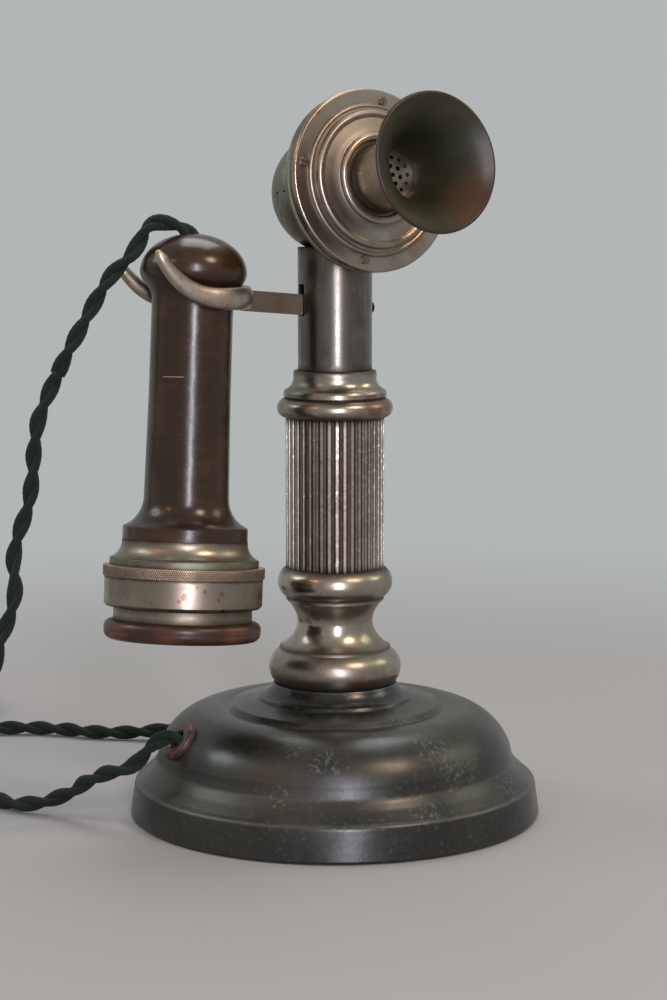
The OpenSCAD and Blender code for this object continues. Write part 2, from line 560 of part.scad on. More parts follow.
// Works behind the face plate
diaphragm_s = face_s - face_t - 1.2;
bridge_s = flange_s + shell_t + 0.05;
module diaphragm_gasket() color("#2a2a28") head_frame() difference() {
    translate([0, 0, diaphragm_s + 0.4]) cylinder(r = recess_r - 0.1, h = 0.75);
    cylinder(r = recess_r - 3, h = 2 * face_s);
}
module transmitter_diaphragm() color("#b9b6ae") head_frame()
    translate([0, 0, diaphragm_s]) cylinder(r = recess_r - 0.2, h = 0.4);
bridge_w = 9;
bridge_t = 1.4;
module button_bridge() color("#bba75f") head_frame() difference() {
    translate([-bridge_w / 2, 0.8 - recess_r, bridge_s]) cube([bridge_w, 2 * recess_r - 1.6, bridge_t]);
    cylinder(r = 4.1, h = 2 * face_s);
    for (side = [-1, 1]) translate([0, side * bridge_screw_y, 0]) cylinder(r = 1.1, h = 2 * face_s);
}
module bridge_screws() color("#8b877c") head_frame() for (side = [-1, 1])
    translate([0, side * bridge_screw_y, bridge_s]) {
        translate([0, 0, -1]) cylinder(r = 1.05, h = 2.6);
        translate([0, 0, bridge_t]) cylinder(r = 1.9, h = 0.7);
    }
module carbon_button() color("#c3aa5a") head_frame() {
    translate([0, 0, bridge_s - 9.05]) cylinder(r = 11, h = 9);
    translate([0, 0, bridge_s - 1]) cylinder(r = 4, h = diaphragm_s - bridge_s + 0.9);
}

// ---------------------------------------------------------------- receiver
// Heights in the receiver's own frame, which stands on the ear cap
cup_z = ear_cap_h;
knurl_z = cup_z + cup_groove_h + cup_band_h;
ferrule_z = knurl_z + knurl_h;
handle_z = ferrule_z + ferrule_h + 0.1;
top_z = handle_z + handle_len;
bulb_z = top_z - 14.3;             // height of the bulb's widest ring
hang_z = fork_z + prong_h / 2 + 4.7;
hang_x = fork_reach - 0.2;
module receiver_frame() translate([-hang_x, 0, hang_z]) rotate([-lean_side, lean_out, 0])
    translate([0, 0, -bulb_z]) children();
handle_bore = 9.6;
plate_bore = handle_bore + 1;      // hole of the ferrule and the cup for the magnet plate
module receiver_handle() color("#3d2820") receiver_frame() difference() {
    turned(concat(
        [[0, handle_z], [flange_r, handle_z], [flange_r, handle_z + 4.4], [flange_r - 0.5, handle_z + 5]],
        arc([flange_r - 1, handle_z + 5.2], [grip_r + 0.7, handle_z + 16], -1.8, 8),
        [[grip_r + 0.1, handle_z + 52]],
        arc([grip_r, bulb_z - 9.4], [bulb_r - 2.4, bulb_z - 4.8], -0.4, 4),
        arc([bulb_r - 2.2, bulb_z - 4.4], [bulb_r, bulb_z], 0.5, 5),
        [for (a = [5:5:85]) [bulb_r * cos(a), bulb_z + (top_z - bulb_z) * sin(a)]], [[0, top_z]]));
    translate([0, 0, handle_z - 1]) cylinder(r = handle_bore, h = bulb_z - handle_z - 4);
    translate([0, 0, handle_z]) cylinder(r = cord_hole, h = handle_len + 10);
}
module receiver_ferrule() color("#9d9484") receiver_frame() turned(concat(
    [[plate_bore, ferrule_z], [cup_r - 1.7, ferrule_z], [cup_r - 1.7, ferrule_z + 2.3]],
    arc([cup_r - 1.9, ferrule_z + 2.6], [flange_r + 0.1, ferrule_z + ferrule_h - 0.4], -1.2, 8),
    [[flange_r, ferrule_z + ferrule_h], [plate_bore, ferrule_z + ferrule_h]]));
module knurled_ring() color("#8f8576") receiver_frame() difference() {
    translate([0, 0, knurl_z]) turned([[cup_r - 4, 0], [cup_r + 0.2, 0], [cup_r + 0.6, 0.4],
        [cup_r + 0.6, knurl_h - 0.5], [cup_r + 0.1, knurl_h], [cup_r - 4, knurl_h]]);
    for (i = [0:71]) rotate([0, 0, 5 * i]) translate([cup_r + 0.95, 0, knurl_z - 1])
        cylinder(r = 0.55, h = knurl_h + 2, $fn = 16);
}
cup_in = cup_r - 5.2;
module receiver_cup() color("#94897a") receiver_frame() turned(
    [[cup_in, cup_z + fit_gap], [cup_r - 3.6, cup_z + fit_gap], [cup_r - 3.6, cup_z + cup_groove_h - 0.6],
     [cup_r - 2.4, cup_z + cup_groove_h], [cup_r - 1, cup_z + cup_groove_h],
     [cup_r, cup_z + cup_groove_h + 1],
     [cup_r, knurl_z], [cup_r - 4.05, knurl_z], [cup_r - 4.05, ferrule_z], [plate_bore, ferrule_z],
     [plate_bore, ferrule_z - 2], [cup_in, ferrule_z - 2]]);
ear_r = cup_r - 0.3;
module ear_cap() color("#352219") receiver_frame() turned(concat(
    [[4.5, 4.2], [5.5, 3.6], [14, 2.6]], arc([22, 0.9], [25.4, 0], -0.3, 4),
    arc([25.4, 0], [ear_r, 3.4], 1.2, 7), arc([ear_r, 3.8], [ear_r - 2, ear_cap_h - 0.1], 0.9, 6),
    [[cup_in - 1.1, ear_cap_h], [cup_in - 1.1, ear_cap_h - 0.8], [16, ear_cap_h - 1.4],
     [4.5, ear_cap_h - 1.6]]));
module receiver_diaphragm() color("#5f6468") receiver_frame()
    translate([0, 0, ear_cap_h + fit_gap]) cylinder(r = cup_in - 0.1, h = 0.35);
// A pair of bar magnets in the handle: a yoke joins their tops, and their lower ends stand on
// the wound pole pieces, which pass through a plate in the cup's roof
magnet = [4, 9];
magnet_x = 4.4;
pole = [2.4, 7];
foot_t = 2;
magnet_low = ferrule_z + foot_t;
magnet_high = bulb_z - 18;
coil_low = cup_z + 1.6;
coil_h = 9;
module at_poles() receiver_frame() for (side = [-1, 1]) translate([side * magnet_x, 0, 0]) children();
module upright(size, low, high) translate([-size.x / 2, -size.y / 2, low])
    cube([size.x, size.y, high - low]);
module receiver_magnets() color("#54585c") at_poles() upright(magnet, magnet_low, magnet_high);
module magnet_yoke() color("#777b7e") receiver_frame()
    upright([2 * magnet_x + magnet.x + 1, magnet.y], magnet_high, magnet_high + 5);
module magnet_plate() color("#b3964c") difference() {
    receiver_frame() translate([0, 0, ferrule_z]) {
        translate([0, 0, -2.1]) cylinder(r = plate_bore - fit_gap, h = 2.1);
        translate([0, 0, -3.4]) cylinder(r = plate_bore + 3, h = 1.35);
    }
    at_poles() upright(pole + [0.1, 0.1], cup_z, ferrule_z + 1);
}
module pole_pieces() color("#85898c") at_poles() {
    upright(pole, coil_low - 0.6, ferrule_z + 0.5);
    upright(magnet, ferrule_z, magnet_low);
}
module coil_bobbins() color("#b9a183") at_poles() difference() {
    for (z = [coil_low, coil_low + coil_h - 1]) upright([8.2, 12], z, z + 1);
    upright(pole + [0.1, 0.1], cup_z, ferrule_z);
}
module coil_windings() color("#7c3f2c") at_poles() difference() {
    upright([7.2, 10.8], coil_low + 1, coil_low + coil_h - 1);
    upright(pole + [0.1, 0.1], cup_z, ferrule_z);
}
module receiver_terminals() color("#c2a24e") receiver_frame() for (side = [-1, 1])
    translate([side * 4, 0, magnet_high + 5]) {
        cylinder(r = 1.6, h = 5);
        cylinder(r = 2.6, h = 1.5);
    }

// ---------------------------------------------------------------- cords
// Routes of the cords' middle lines, in the telephone's own frame. Each stretch goes on from
// the one before it, and the two coils are round piles of two layers.
upper_route = [[-56, 1, 213], [-56, 1, 218], [-57.9, 1.4, 222.4], [-60.3, 1.8, 224.5],
    [-63.2, 2.4, 225.9], [-66.7, 3.1, 226.8], [-69.9, 3.9, 227], [-72.4, 4.7, 226.1],
    [-74.3, 5.2, 223.9], [-75.7, 5.8, 220.8], [-77.6, 6.6, 217.4], [-79.8, 7.5, 214.2],
    [-82.4, 8.3, 211.5], [-85.2, 9.3, 208.6], [-87.7, 10.5, 205], [-90.2, 11.8, 200.4],
    [-93.1, 13.3, 194.7], [-96.4, 15, 188], [-101, 17.6, 178.5], [-103.6, 19.2, 172]];
lower_route = [[-103.8, 19.3, 171.5], [-107.5, 21, 163], [-110.6, 22.6, 154], [-111.6, 25, 143],
    [-111.6, 28, 131.5], [-113, 29.6, 121], [-116.6, 30, 111], [-118.8, 29.8, 101],
    [-118.6, 28.6, 91], [-120.8, 28.8, 81], [-124.4, 30, 71.5], [-126.6, 31.4, 60],
    [-128, 32.8, 48], [-130, 34, 37], [-133.5, 34.4, 27], [-138.5, 34, 18.5], [-144.5, 33.4, 13.4]];
ear_lead_route = [[-121, 68, 3.8], [-118, 57, 3.3], [-112.5, 47, 3.4], [-105, 38.5, 5.6],
    [-97.5, 30, 10.5], [-93, 21.4, 16.6], [-88.2, 13.8, 20.6], [-82.6, 7.6, 23.2],
    [-79, 3.8, 27], [-75.8, 2.2, 31.4], [-72.3, 1, 34.3], [-68.7, 0.3, 35.2], [-65.6, 0, 34.2],
    [-62.4, 0, 31.7], [-59.2, 0, 29.1]];
line_lead_route = [[-112, 190, 3.6], [-97, 182.8, 3.3], [-81.4, 175.4, 3.3], [-68, 170.6, 3.3],
    [-56.5, 163, 3.3], [-45, 151.5, 3.3], [-34, 144.4, 3.5], [-24.8, 137.8, 4.6],
    [-16.6, 132, 6.5], [-9, 126.4, 8.2], [-1.8, 120.8, 9.8], [5.4, 115, 11.4], [12, 109, 13.4],
    [17.4, 103, 16.2], [21, 96.6, 20], [22.6, 90, 24.6], [22.4, 83.5, 29.6], [21, 78.2, 34.4],
    [19.6, 73, 37], [18.3, 68.3, 37.2], [17.2, 64.3, 35.1], [15.7, 58.5, 30.4],
    [14.7, 54.9, 27.2]];
turn_gap = 0.7;                    // between neighbouring turns, and between the layers
layer = cord_d + turn_gap;
tie_t = 0.8;
coil_z = cord_d / 2 + tie_t + 0.5;
line_coil = [line_coil_r, line_coil_turns, -115, -1];      // radius, turns, start, way round
line_coil_at = [-119.5, 245.5];
ear_coil = [ear_coil_r, 1.72, 20, 1];
ear_coil_at = [-163.5, 71];
// A coil's middle line: in along the lower layer and out along the upper one, which it climbs
// to in the half turn where it reverses; each end runs straight on for a cord's diameter
function coil_turns(coil) = [for (i = [0:round(24 * coil[1])]) let (t = i / 24,
    a = coil[2] + coil[3] * 360 * t, r = coil[0] - layer * min(t, coil[1] - t),
    up = min(max(2 * (t - coil[1] / 2) + 0.5, 0), 1)) [r * cos(a), r * sin(a), coil_z + layer * up]];
function straight_on(p, q) = p + cord_d * (p - q) / norm(p - q);
function coil_line(coil, at) = let (c = coil_turns(coil), n = len(c) - 1)
    [for (p = concat([straight_on(c[0], c[1])], c, [straight_on(c[n], c[n - 1])]))
        p + [at.x, at.y, 0]];
function self_gap(c) = min([for (i = [0:len(c) - 14], j = [i + 13:len(c) - 1])
    norm(c[i] - c[j])]) - cord_d;
line_coil_line = coil_line(line_coil, line_coil_at);
ear_coil_line = coil_line(ear_coil, ear_coil_at);
echo(line_coil_gap = self_gap(line_coil_line), ear_coil_gap = self_gap(ear_coil_line));
function length(route) = len(route) < 2 ? 0
    : norm(route[1] - route[0]) + length([for (i = [1:len(route) - 1]) route[i]]);
echo(line_cord = length(line_coil_line) + length(line_lead_route) + tip_len, receiver_cord =
    length(upper_route) + length(lower_route) + length(ear_coil_line) + length(ear_lead_route));
module cord_tube(route, ref, sides = 8)
    swept(route, [for (p = route) [cord_d / 2, cord_d / 2]], ref, sides);
module receiver_cord_upper() color("#1d3320") cord_tube(upper_route, [0.3, 1, 0]);
module receiver_cord_lower() color("#1d3320")
    cord_tube(concat(lower_route, [ear_coil_line[len(ear_coil_line) - 1]]), [0.3, 1, 0]);
module receiver_cord_coil() color("#1d3320") cord_tube(ear_coil_line, [0, 0, 1], 6);
module receiver_cord_lead() color("#1d3320")
    cord_tube(concat([ear_coil_line[0]], ear_lead_route), [0, 0, 1]);
module line_cord_lead() color("#1d3320")
    cord_tube(concat([line_coil_line[0]], line_lead_route), [0, 0, 1]);
module line_cord_coil() color("#1d3320") cord_tube(line_coil_line, [0, 0, 1], 6);
// The line cord's two strands part after the coil and end in spade tips on the table
strand_d = cord_d / 2;
tip_len = 40;
tip_lines = [[[0, 0.26, 11.3], [8, 0.45, 10.8], [16, 1, 7.8], [24, 1.5, 4.4], [32, 1.8, 2.4],
        [tip_len, 2, 1.9]],
    [[0, -0.26, 11.3], [8, -0.1, 11], [16, 0.3, 9.6], [24, 0.75, 6.2], [32, 1.05, 3],
        [tip_len, 1.15, 1.9]]];
module line_cord_tips() color("#b8ac8c") {
    n = len(line_coil_line) - 1;
    last = line_coil_line[n];
    heading = last - line_coil_line[n - 1];
    translate([last.x, last.y, last.z - 11.3]) rotate([0, 0, atan2(heading.y, heading.x)])
        for (line = tip_lines) {
            route = [for (p = line) [p.x, p.y * cord_d, p.z]];
            swept(route, [for (p = route) [strand_d / 2, strand_d / 2]], [0, 0, 1], 8);
            translate([tip_len, route[5].y, route[5].z]) {
                rotate([0, 90, 0]) cylinder(r = strand_d / 2 + 0.3, h = 7);
                translate([5, -1.8, -0.4]) difference() {
                    cube([12, 3.6, 0.8]);
                    translate([6, 0.9, -1]) cube([8, 1.8, 3]);
                }
            }
        }
}
// A cotton tape holds each coil together; step is the ring of the coil that it goes round
module tie(line, at, step) {
    held = [for (i = [step:24:len(line) - 2]) norm([line[i].x - at.x, line[i].y - at.y])];
    reach = cord_d / 2 + seat_gap;
    low = min(held) - reach;
    high = max(held) + reach;
    top = coil_z + layer + reach;
    turn = atan2(line[step].y - at.y, line[step].x - at.x);
    translate([at.x, at.y, 0]) rotate([0, 0, turn]) rotate([90, 0, 0])
        linear_extrude(height = 5, center = true) difference() {
            translate([low - tie_t, 0.2]) square([high - low + 2 * tie_t, top + tie_t - 0.2]);
            translate([low, 0.2 + tie_t]) square([high - low, top - tie_t - 0.2]);
        }
}
module cord_ties() color("#8d8a72") {
    tie(line_coil_line, line_coil_at, 6);
    tie(ear_coil_line, ear_coil_at, 9);
}

base_shell();
base_pad();
base_plate();
base_plate_screws();
receiver_cord_grommet();
line_cord_grommet();
terminal_block();
terminal_screws();
column_nut();
column_foot();
lower_bead();
fluted_shaft();
upper_collar();
stem_tube();
switch_bracket();
bracket_screw();
hook_pivot_pin();
hook_spring();
contact_springs();
contact_insulators();
hook_lever();
hook_fork();
stem_head();
tilt_washers();
tilt_screw();
tilt_nut();
transmitter_cup();
transmitter_face();
face_screws();
mouthpiece_socket();
socket_set_screw();
mouthpiece();
mouthpiece_grille();
transmitter_diaphragm();
diaphragm_gasket();
carbon_button();
button_bridge();
bridge_screws();
receiver_handle();
receiver_ferrule();
knurled_ring();
receiver_cup();
ear_cap();
receiver_diaphragm();
receiver_magnets();
magnet_yoke();
magnet_plate();
pole_pieces();
coil_bobbins();
coil_windings();
receiver_terminals();
receiver_cord_upper();
receiver_cord_lower();
receiver_cord_coil();
receiver_cord_lead();
line_cord_lead();
line_cord_coil();
line_cord_tips();
cord_ties();
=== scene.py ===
import json
import math
import bmesh
import bpy
from mathutils import Euler, Matrix, Vector


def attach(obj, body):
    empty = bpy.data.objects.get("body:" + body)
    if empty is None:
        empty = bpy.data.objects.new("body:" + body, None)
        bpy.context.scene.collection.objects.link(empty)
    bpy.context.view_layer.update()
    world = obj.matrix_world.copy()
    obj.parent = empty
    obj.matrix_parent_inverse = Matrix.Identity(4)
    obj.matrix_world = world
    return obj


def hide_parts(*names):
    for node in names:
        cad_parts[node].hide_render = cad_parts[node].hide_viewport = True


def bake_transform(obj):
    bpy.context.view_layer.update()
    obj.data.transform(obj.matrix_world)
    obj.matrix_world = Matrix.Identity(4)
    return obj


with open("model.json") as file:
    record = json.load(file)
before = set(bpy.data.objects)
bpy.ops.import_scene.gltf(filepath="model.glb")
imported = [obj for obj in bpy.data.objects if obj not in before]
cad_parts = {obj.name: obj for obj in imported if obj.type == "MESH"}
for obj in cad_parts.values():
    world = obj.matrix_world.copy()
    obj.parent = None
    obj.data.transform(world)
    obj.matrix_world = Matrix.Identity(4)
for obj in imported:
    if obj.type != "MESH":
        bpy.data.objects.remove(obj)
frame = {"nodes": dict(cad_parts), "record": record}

bpy.ops.object.select_all(action="DESELECT")
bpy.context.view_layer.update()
nodes = frame["nodes"]


# ---- Camera
# Stands 0.89 m from the column at the height of the transmitter, turned 25 degrees round the
# telephone, with a long lens whose field is as tall as the set and its shadow.
bpy.ops.object.camera_add(location=(-0.3773, -0.8078, 0.2369),
    rotation=(math.radians(90 - 7.391), 0, math.radians(-25)))
camera = bpy.context.object
camera.data.sensor_width = 36
camera.data.lens = 84.6
camera.data.clip_end = 30
bpy.context.scene.camera = camera


# ---- Receiver cord
# Two conductors, each braided over with dark green cotton and twisted together. It leaves the
# top of the handle, hangs beside the receiver, is wound up on the table and ends in the base.
cord_d = 0.0062
strand_r = 0.00168
twist = 0.0265
turn_gap = 0.0007
lowest_turn = 0.0044
point_step = 0.0011


def evenly(points):
    """A smooth line through the points, with its own points an even step apart."""
    points = [Vector(p) for p in points]
    ends = [2 * points[0] - points[1]] + points + [2 * points[-1] - points[-2]]
    fine = []
    for a, b, c, d in zip(ends, ends[1:], ends[2:], ends[3:]):
        for t in (i / 16 for i in range(16)):
            fine.append(0.5 * (2 * b + (c - a) * t + (2 * a - 5 * b + 4 * c - d) * t ** 2 +
                (3 * b - a - 3 * c + d) * t ** 3))
    fine.append(points[-1])
    reach = [0.0]
    for p, q in zip(fine, fine[1:]):
        reach.append(reach[-1] + (q - p).length)
    count = round(reach[-1] / point_step)
    line, k = [], 0
    for i in range(count + 1):
        at = reach[-1] * i / count
        while k < len(reach) - 2 and reach[k + 1] < at:
            k += 1
        line.append(fine[k].lerp(fine[k + 1], (at - reach[k]) / (reach[k + 1] - reach[k])))
    return line


def length_of(line):
    """The length of a line of points."""
    return sum((q - p).length for p, q in zip(line, line[1:]))


def coil_of_cord(centre, radius, turns, start, way):
    """A flat coil in two layers: in along the lower one, then out along the upper one."""
    layer, points = cord_d + turn_gap, []
    for i in range(round(24 * turns) + 1):
        t = i / 24
        a = math.radians(start + way * 360 * t)
        r = radius - layer * min(t, turns - t)
        up = min(max(2 * (t - turns / 2) + 0.5, 0), 1)
        points.append(Vector((centre[0] + r * math.cos(a), centre[1] + r * math.sin(a),
            lowest_turn + layer * up)))
    first = points[0] + cord_d * (points[0] - points[1]).normalized()
    last = points[-1] + cord_d * (points[-1] - points[-2]).normalized()
    return [first] + points + [last]


def put_in_scene(name, mesh):
    """A piece made of a mesh, linked to the scene."""
    piece = bpy.data.objects.new(name, mesh)
    bpy.context.scene.collection.objects.link(piece)
    return piece


def braided_strands(name, line, count, radius, lay_off, pitch, start=0.0):
    """Strands that twist round a line, with a braid map: u goes once round, v as far along."""
    mesh = bpy.data.meshes.new(name)
    bm = bmesh.new()
    braid = bm.loops.layers.uv.new("braid")
    sides, last = 12, len(line) - 1
    turns = [2 * math.pi * k / sides for k in range(sides)]
    tangents = [(line[min(i + 1, last)] - line[max(i - 1, 0)]).normalized() for i in range(last + 1)]
    across, outward, along = tangents[0].orthogonal().normalized(), [], 0.0
    for i, t in enumerate(tangents):
        along += (line[i] - line[i - 1]).length if i else 0
        across = (across - across.dot(t) * t).normalized()
        a = start + 2 * math.pi * along / pitch
        outward.append((across, t.cross(across), a))
    for s in range(count):
        shift = 2 * math.pi * s / count
        radial = [u * math.cos(a + shift) + v * math.sin(a + shift) for u, v, a in outward]
        middle = [p + lay_off * r for p, r in zip(line, radial)]
        rings, reach = [], [0.0]
        for i, p in enumerate(middle):
            t = (middle[min(i + 1, last)] - middle[max(i - 1, 0)]).normalized()
            side = t.cross(radial[i]).normalized()
            up = side.cross(t)
            rings.append([bm.verts.new(p + radius * (up * math.cos(a) + side * math.sin(a)))
                for a in turns])
            if i:
                reach.append(reach[-1] + (p - middle[i - 1]).length)
        for i in range(last):
            for k in range(sides):
                j = (k + 1) % sides
                face = bm.faces.new((rings[i][k], rings[i][j], rings[i + 1][j], rings[i + 1][k]))
                face.smooth = True
                for loop, (u, w) in zip(face.loops, ((k, i), (k + 1, i), (k + 1, i + 1), (k, i + 1))):
                    loop[braid].uv = (u / sides, reach[w] / (2 * math.pi * radius))
        bm.faces.new(list(reversed(rings[0])))
        bm.faces.new(rings[-1])
    bmesh.ops.recalc_face_normals(bm, faces=bm.faces)
    bm.to_mesh(mesh)
    bm.free()
    return put_in_scene(name, mesh)


def hex_colour(text):
    """The linear colour of an sRGB hex value."""
    values = [int(text[i:i + 2], 16) / 255 for i in (1, 3, 5)]
    return [v / 12.92 if v <= 0.04045 else ((v + 0.055) / 1.055) ** 2.4 for v in values] + [1]


def add_node(tree, kind, inputs=(), **settings):
    """A shader node with its settings, its values and its links."""
    made = tree.nodes.new("ShaderNode" + kind)
    for name, value in settings.items():
        setattr(made, name, value)
    for name, value in dict(inputs).items():
        if isinstance(value, bpy.types.NodeSocket):
            tree.links.new(value, made.inputs[name])
        else:
            made.inputs[name].default_value = value
    return made


# Braided cotton, dyed dark green: matt yarns about 1 mm wide that cross over and under, with
# paler crowns, so the cord looks ribbed and soft.
cotton = bpy.data.materials.new("dyed braided cotton")
cotton.use_nodes = True
tree = cotton.node_tree
surface = tree.nodes["Principled BSDF"]
surface.inputs["Roughness"].default_value = 0.85
surface.inputs["Specular IOR Level"].default_value = 0.2
surface.inputs["Sheen Weight"].default_value = 0.06
surface.inputs["Sheen Roughness"].default_value = 0.5
uv = add_node(tree, "UVMap", uv_map="braid")
place = add_node(tree, "SeparateXYZ", {0: uv.outputs[0]})
yarns = 10
crowns = []
for way in ("ADD", "SUBTRACT"):
    both = add_node(tree, "Math", {0: place.outputs[0], 1: place.outputs[1]}, operation=way)
    phase = add_node(tree, "Math", {0: both.outputs[0], 1: yarns}, operation="MULTIPLY")
    half_turn = add_node(tree, "Math", {0: phase.outputs[0], 1: math.pi}, operation="MULTIPLY")
    wave = add_node(tree, "Math", {0: half_turn.outputs[0]}, operation="SINE")
    crown = add_node(tree, "Math", {0: wave.outputs[0]}, operation="ABSOLUTE")
    crowns.append((phase, crown))
cell = add_node(tree, "CombineXYZ", {0: crowns[0][0].outputs[0], 1: crowns[1][0].outputs[0], 2: 0.5})
over = add_node(tree, "TexChecker", {"Vector": cell.outputs[0], "Scale": 1.0, "Color1": (0, 0, 0, 1),
    "Color2": (1, 1, 1, 1)})
height = add_node(tree, "Mix", {0: over.outputs["Fac"], 2: crowns[0][1].outputs[0],
    3: crowns[1][1].outputs[0]})
spot = add_node(tree, "TexCoord")
fade = add_node(tree, "TexNoise", {"Vector": spot.outputs["Object"], "Scale": 60.0})
tone = add_node(tree, "Math", {0: height.outputs[0], 1: fade.outputs[0]}, operation="MULTIPLY")
dye = add_node(tree, "Mix", {0: tone.outputs[0], 6: hex_colour("#070c08"), 7: hex_colour("#1c3226")},
    data_type="RGBA")
ribs = add_node(tree, "Bump", {"Strength": 0.9, "Distance": 0.0004, "Height": height.outputs[0]})
tree.links.new(dye.outputs[2], surface.inputs["Base Color"])
tree.links.new(ribs.outputs[0], surface.inputs["Normal"])

top_line = evenly([(-0.056, 0.001, 0.213), (-0.056, 0.001, 0.218), (-0.0579, 0.0014, 0.2224),
    (-0.0603, 0.0018, 0.2245), (-0.0632, 0.0024, 0.2259), (-0.0667, 0.0031, 0.2268),
    (-0.0699, 0.0039, 0.227), (-0.0724, 0.0047, 0.2261), (-0.0743, 0.0052, 0.2239),
    (-0.0757, 0.0058, 0.2208), (-0.0776, 0.0066, 0.2174), (-0.0798, 0.0075, 0.2142),
    (-0.0824, 0.0083, 0.2115), (-0.0852, 0.0093, 0.2086), (-0.0877, 0.0105, 0.205),
    (-0.0902, 0.0118, 0.2004), (-0.0931, 0.0133, 0.1947), (-0.0964, 0.015, 0.188),
    (-0.101, 0.0176, 0.1785), (-0.1038, 0.0193, 0.1717)])
receiver_cord_top = braided_strands("receiver_cord_top", top_line, 2, strand_r, cord_d / 2 - strand_r,
    twist)
receiver_cord_top.data.materials.append(cotton)
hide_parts("receiver_cord_upper")
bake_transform(receiver_cord_top)

ear_coil_centre = (-0.1635, 0.071)
ear_coil = coil_of_cord(ear_coil_centre, 0.04, 1.72, 20, 1)
down_to_coil = [(-0.1038, 0.0193, 0.1717), (-0.1075, 0.021, 0.163), (-0.1106, 0.0226, 0.154),
    (-0.1116, 0.025, 0.143), (-0.1116, 0.028, 0.1315), (-0.113, 0.0296, 0.121), (-0.1166, 0.03, 0.111),
    (-0.1188, 0.0298, 0.101), (-0.1186, 0.0286, 0.091), (-0.1208, 0.0288, 0.081),
    (-0.1244, 0.03, 0.0715), (-0.1266, 0.0314, 0.06), (-0.128, 0.0328, 0.048), (-0.13, 0.034, 0.037),
    (-0.1335, 0.0344, 0.027), (-0.1385, 0.034, 0.0185), (-0.1445, 0.0334, 0.0134)]
up_to_base = [(-0.121, 0.068, 0.0038), (-0.118, 0.057, 0.0033), (-0.1125, 0.047, 0.0034),
    (-0.105, 0.0385, 0.0056), (-0.0975, 0.03, 0.0105), (-0.093, 0.0214, 0.0166),
    (-0.0882, 0.0138, 0.0206), (-0.0826, 0.0076, 0.0232), (-0.079, 0.0038, 0.027),
    (-0.0758, 0.0022, 0.0314), (-0.0723, 0.001, 0.0343), (-0.0687, 0.0003, 0.0352), (-0.0656, 0, 0.0342),
    (-0.0624, 0, 0.0317), (-0.0592, 0, 0.0291)]
hang_line = evenly(down_to_coil + ear_coil[::-1] + up_to_base)
turned_so_far = 2 * math.pi * length_of(top_line) / twist
receiver_cord = braided_strands("receiver_cord", hang_line, 2, strand_r, cord_d / 2 - strand_r, twist,
    turned_so_far)
receiver_cord.data.materials.append(cotton)
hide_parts("receiver_cord_lower", "receiver_cord_coil", "receiver_cord_lead")
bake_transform(receiver_cord)


# ---- Line cord
# The same twisted cotton cord, from the back of the base to the wall, lying on the table and
# wound up behind the left edge of the view. Its two ends carry spade tips for the wall block.
line_coil_centre = (-0.1195, 0.2455)
line_coil = coil_of_cord(line_coil_centre, 0.048, 6.25, -115, -1)
line_line = evenly([(0.0147, 0.0549, 0.0272), (0.0157, 0.0585, 0.0304), (0.0172, 0.0643, 0.0351),
    (0.0183, 0.0683, 0.0372), (0.0196, 0.073, 0.037), (0.021, 0.0782, 0.0344), (0.0224, 0.0835, 0.0296),
    (0.0226, 0.09, 0.0246), (0.021, 0.0966, 0.02), (0.0174, 0.103, 0.0162), (0.012, 0.109, 0.0134),
    (0.0054, 0.115, 0.0114), (-0.0018, 0.1208, 0.0098), (-0.009, 0.1264, 0.0082),
    (-0.0166, 0.132, 0.0065), (-0.0248, 0.1378, 0.0046), (-0.034, 0.1444, 0.0035),
    (-0.045, 0.1515, 0.0033), (-0.0565, 0.163, 0.0033), (-0.068, 0.1712, 0.0033),
    (-0.0814, 0.1771, 0.0033), (-0.097, 0.1838, 0.0033), (-0.112, 0.19, 0.0036)] + line_coil)
line_cord = braided_strands("line_cord", line_line, 2, strand_r, cord_d / 2 - strand_r, twist)
line_cord.data.materials.append(cotton)
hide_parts("line_cord_lead", "line_cord_coil")
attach(line_cord, "stand")


# ---- Spade tips of the line cord
# Each strand ends in a crimped brass sleeve with a flat forked tongue, which slips under a
# terminal screw. The strands part after the coil and come down to the table.
sleeve_r, sleeve_l, sleeve_x = 0.0019, 0.007, 0.0435
tongue_l, tongue_w, tongue_t, tongue_x = 0.012, 0.0036, 0.0008, 0.051
heading = line_coil[-1] - line_coil[-2]
tips_turn = Matrix.Rotation(math.atan2(heading.y, heading.x), 4, "Z")
tip_frame = Matrix.Translation((line_coil[-1].x, line_coil[-1].y, 0)) @ tips_turn


def pick(piece, kind, test):
    """In edit mode, selects only those verts, edges or faces of a piece that pass a test."""
    mesh = bmesh.from_edit_mesh(piece.data)
    bpy.ops.mesh.select_mode(type={"verts": "VERT", "edges": "EDGE", "faces": "FACE"}[kind])
    bpy.ops.mesh.select_all(action="DESELECT")
    for part in getattr(mesh, kind):
        if test(part):
            part.select_set(True)
    bmesh.update_edit_mesh(piece.data)


def finish_piece(piece, name, frame_of_piece, angle=40):
    """Applies a piece's modifiers, leaves its place in its mesh and smooths all but its edges."""
    bpy.context.view_layer.objects.active = piece
    for modifier in list(piece.modifiers):
        bpy.ops.object.modifier_apply(modifier=modifier.name)
    piece.data.transform(frame_of_piece @ piece.matrix_basis)
    piece.matrix_basis = Matrix()
    piece.name = name
    bpy.ops.object.shade_smooth_by_angle(angle=math.radians(angle))
    bpy.ops.object.select_all(action="DESELECT")


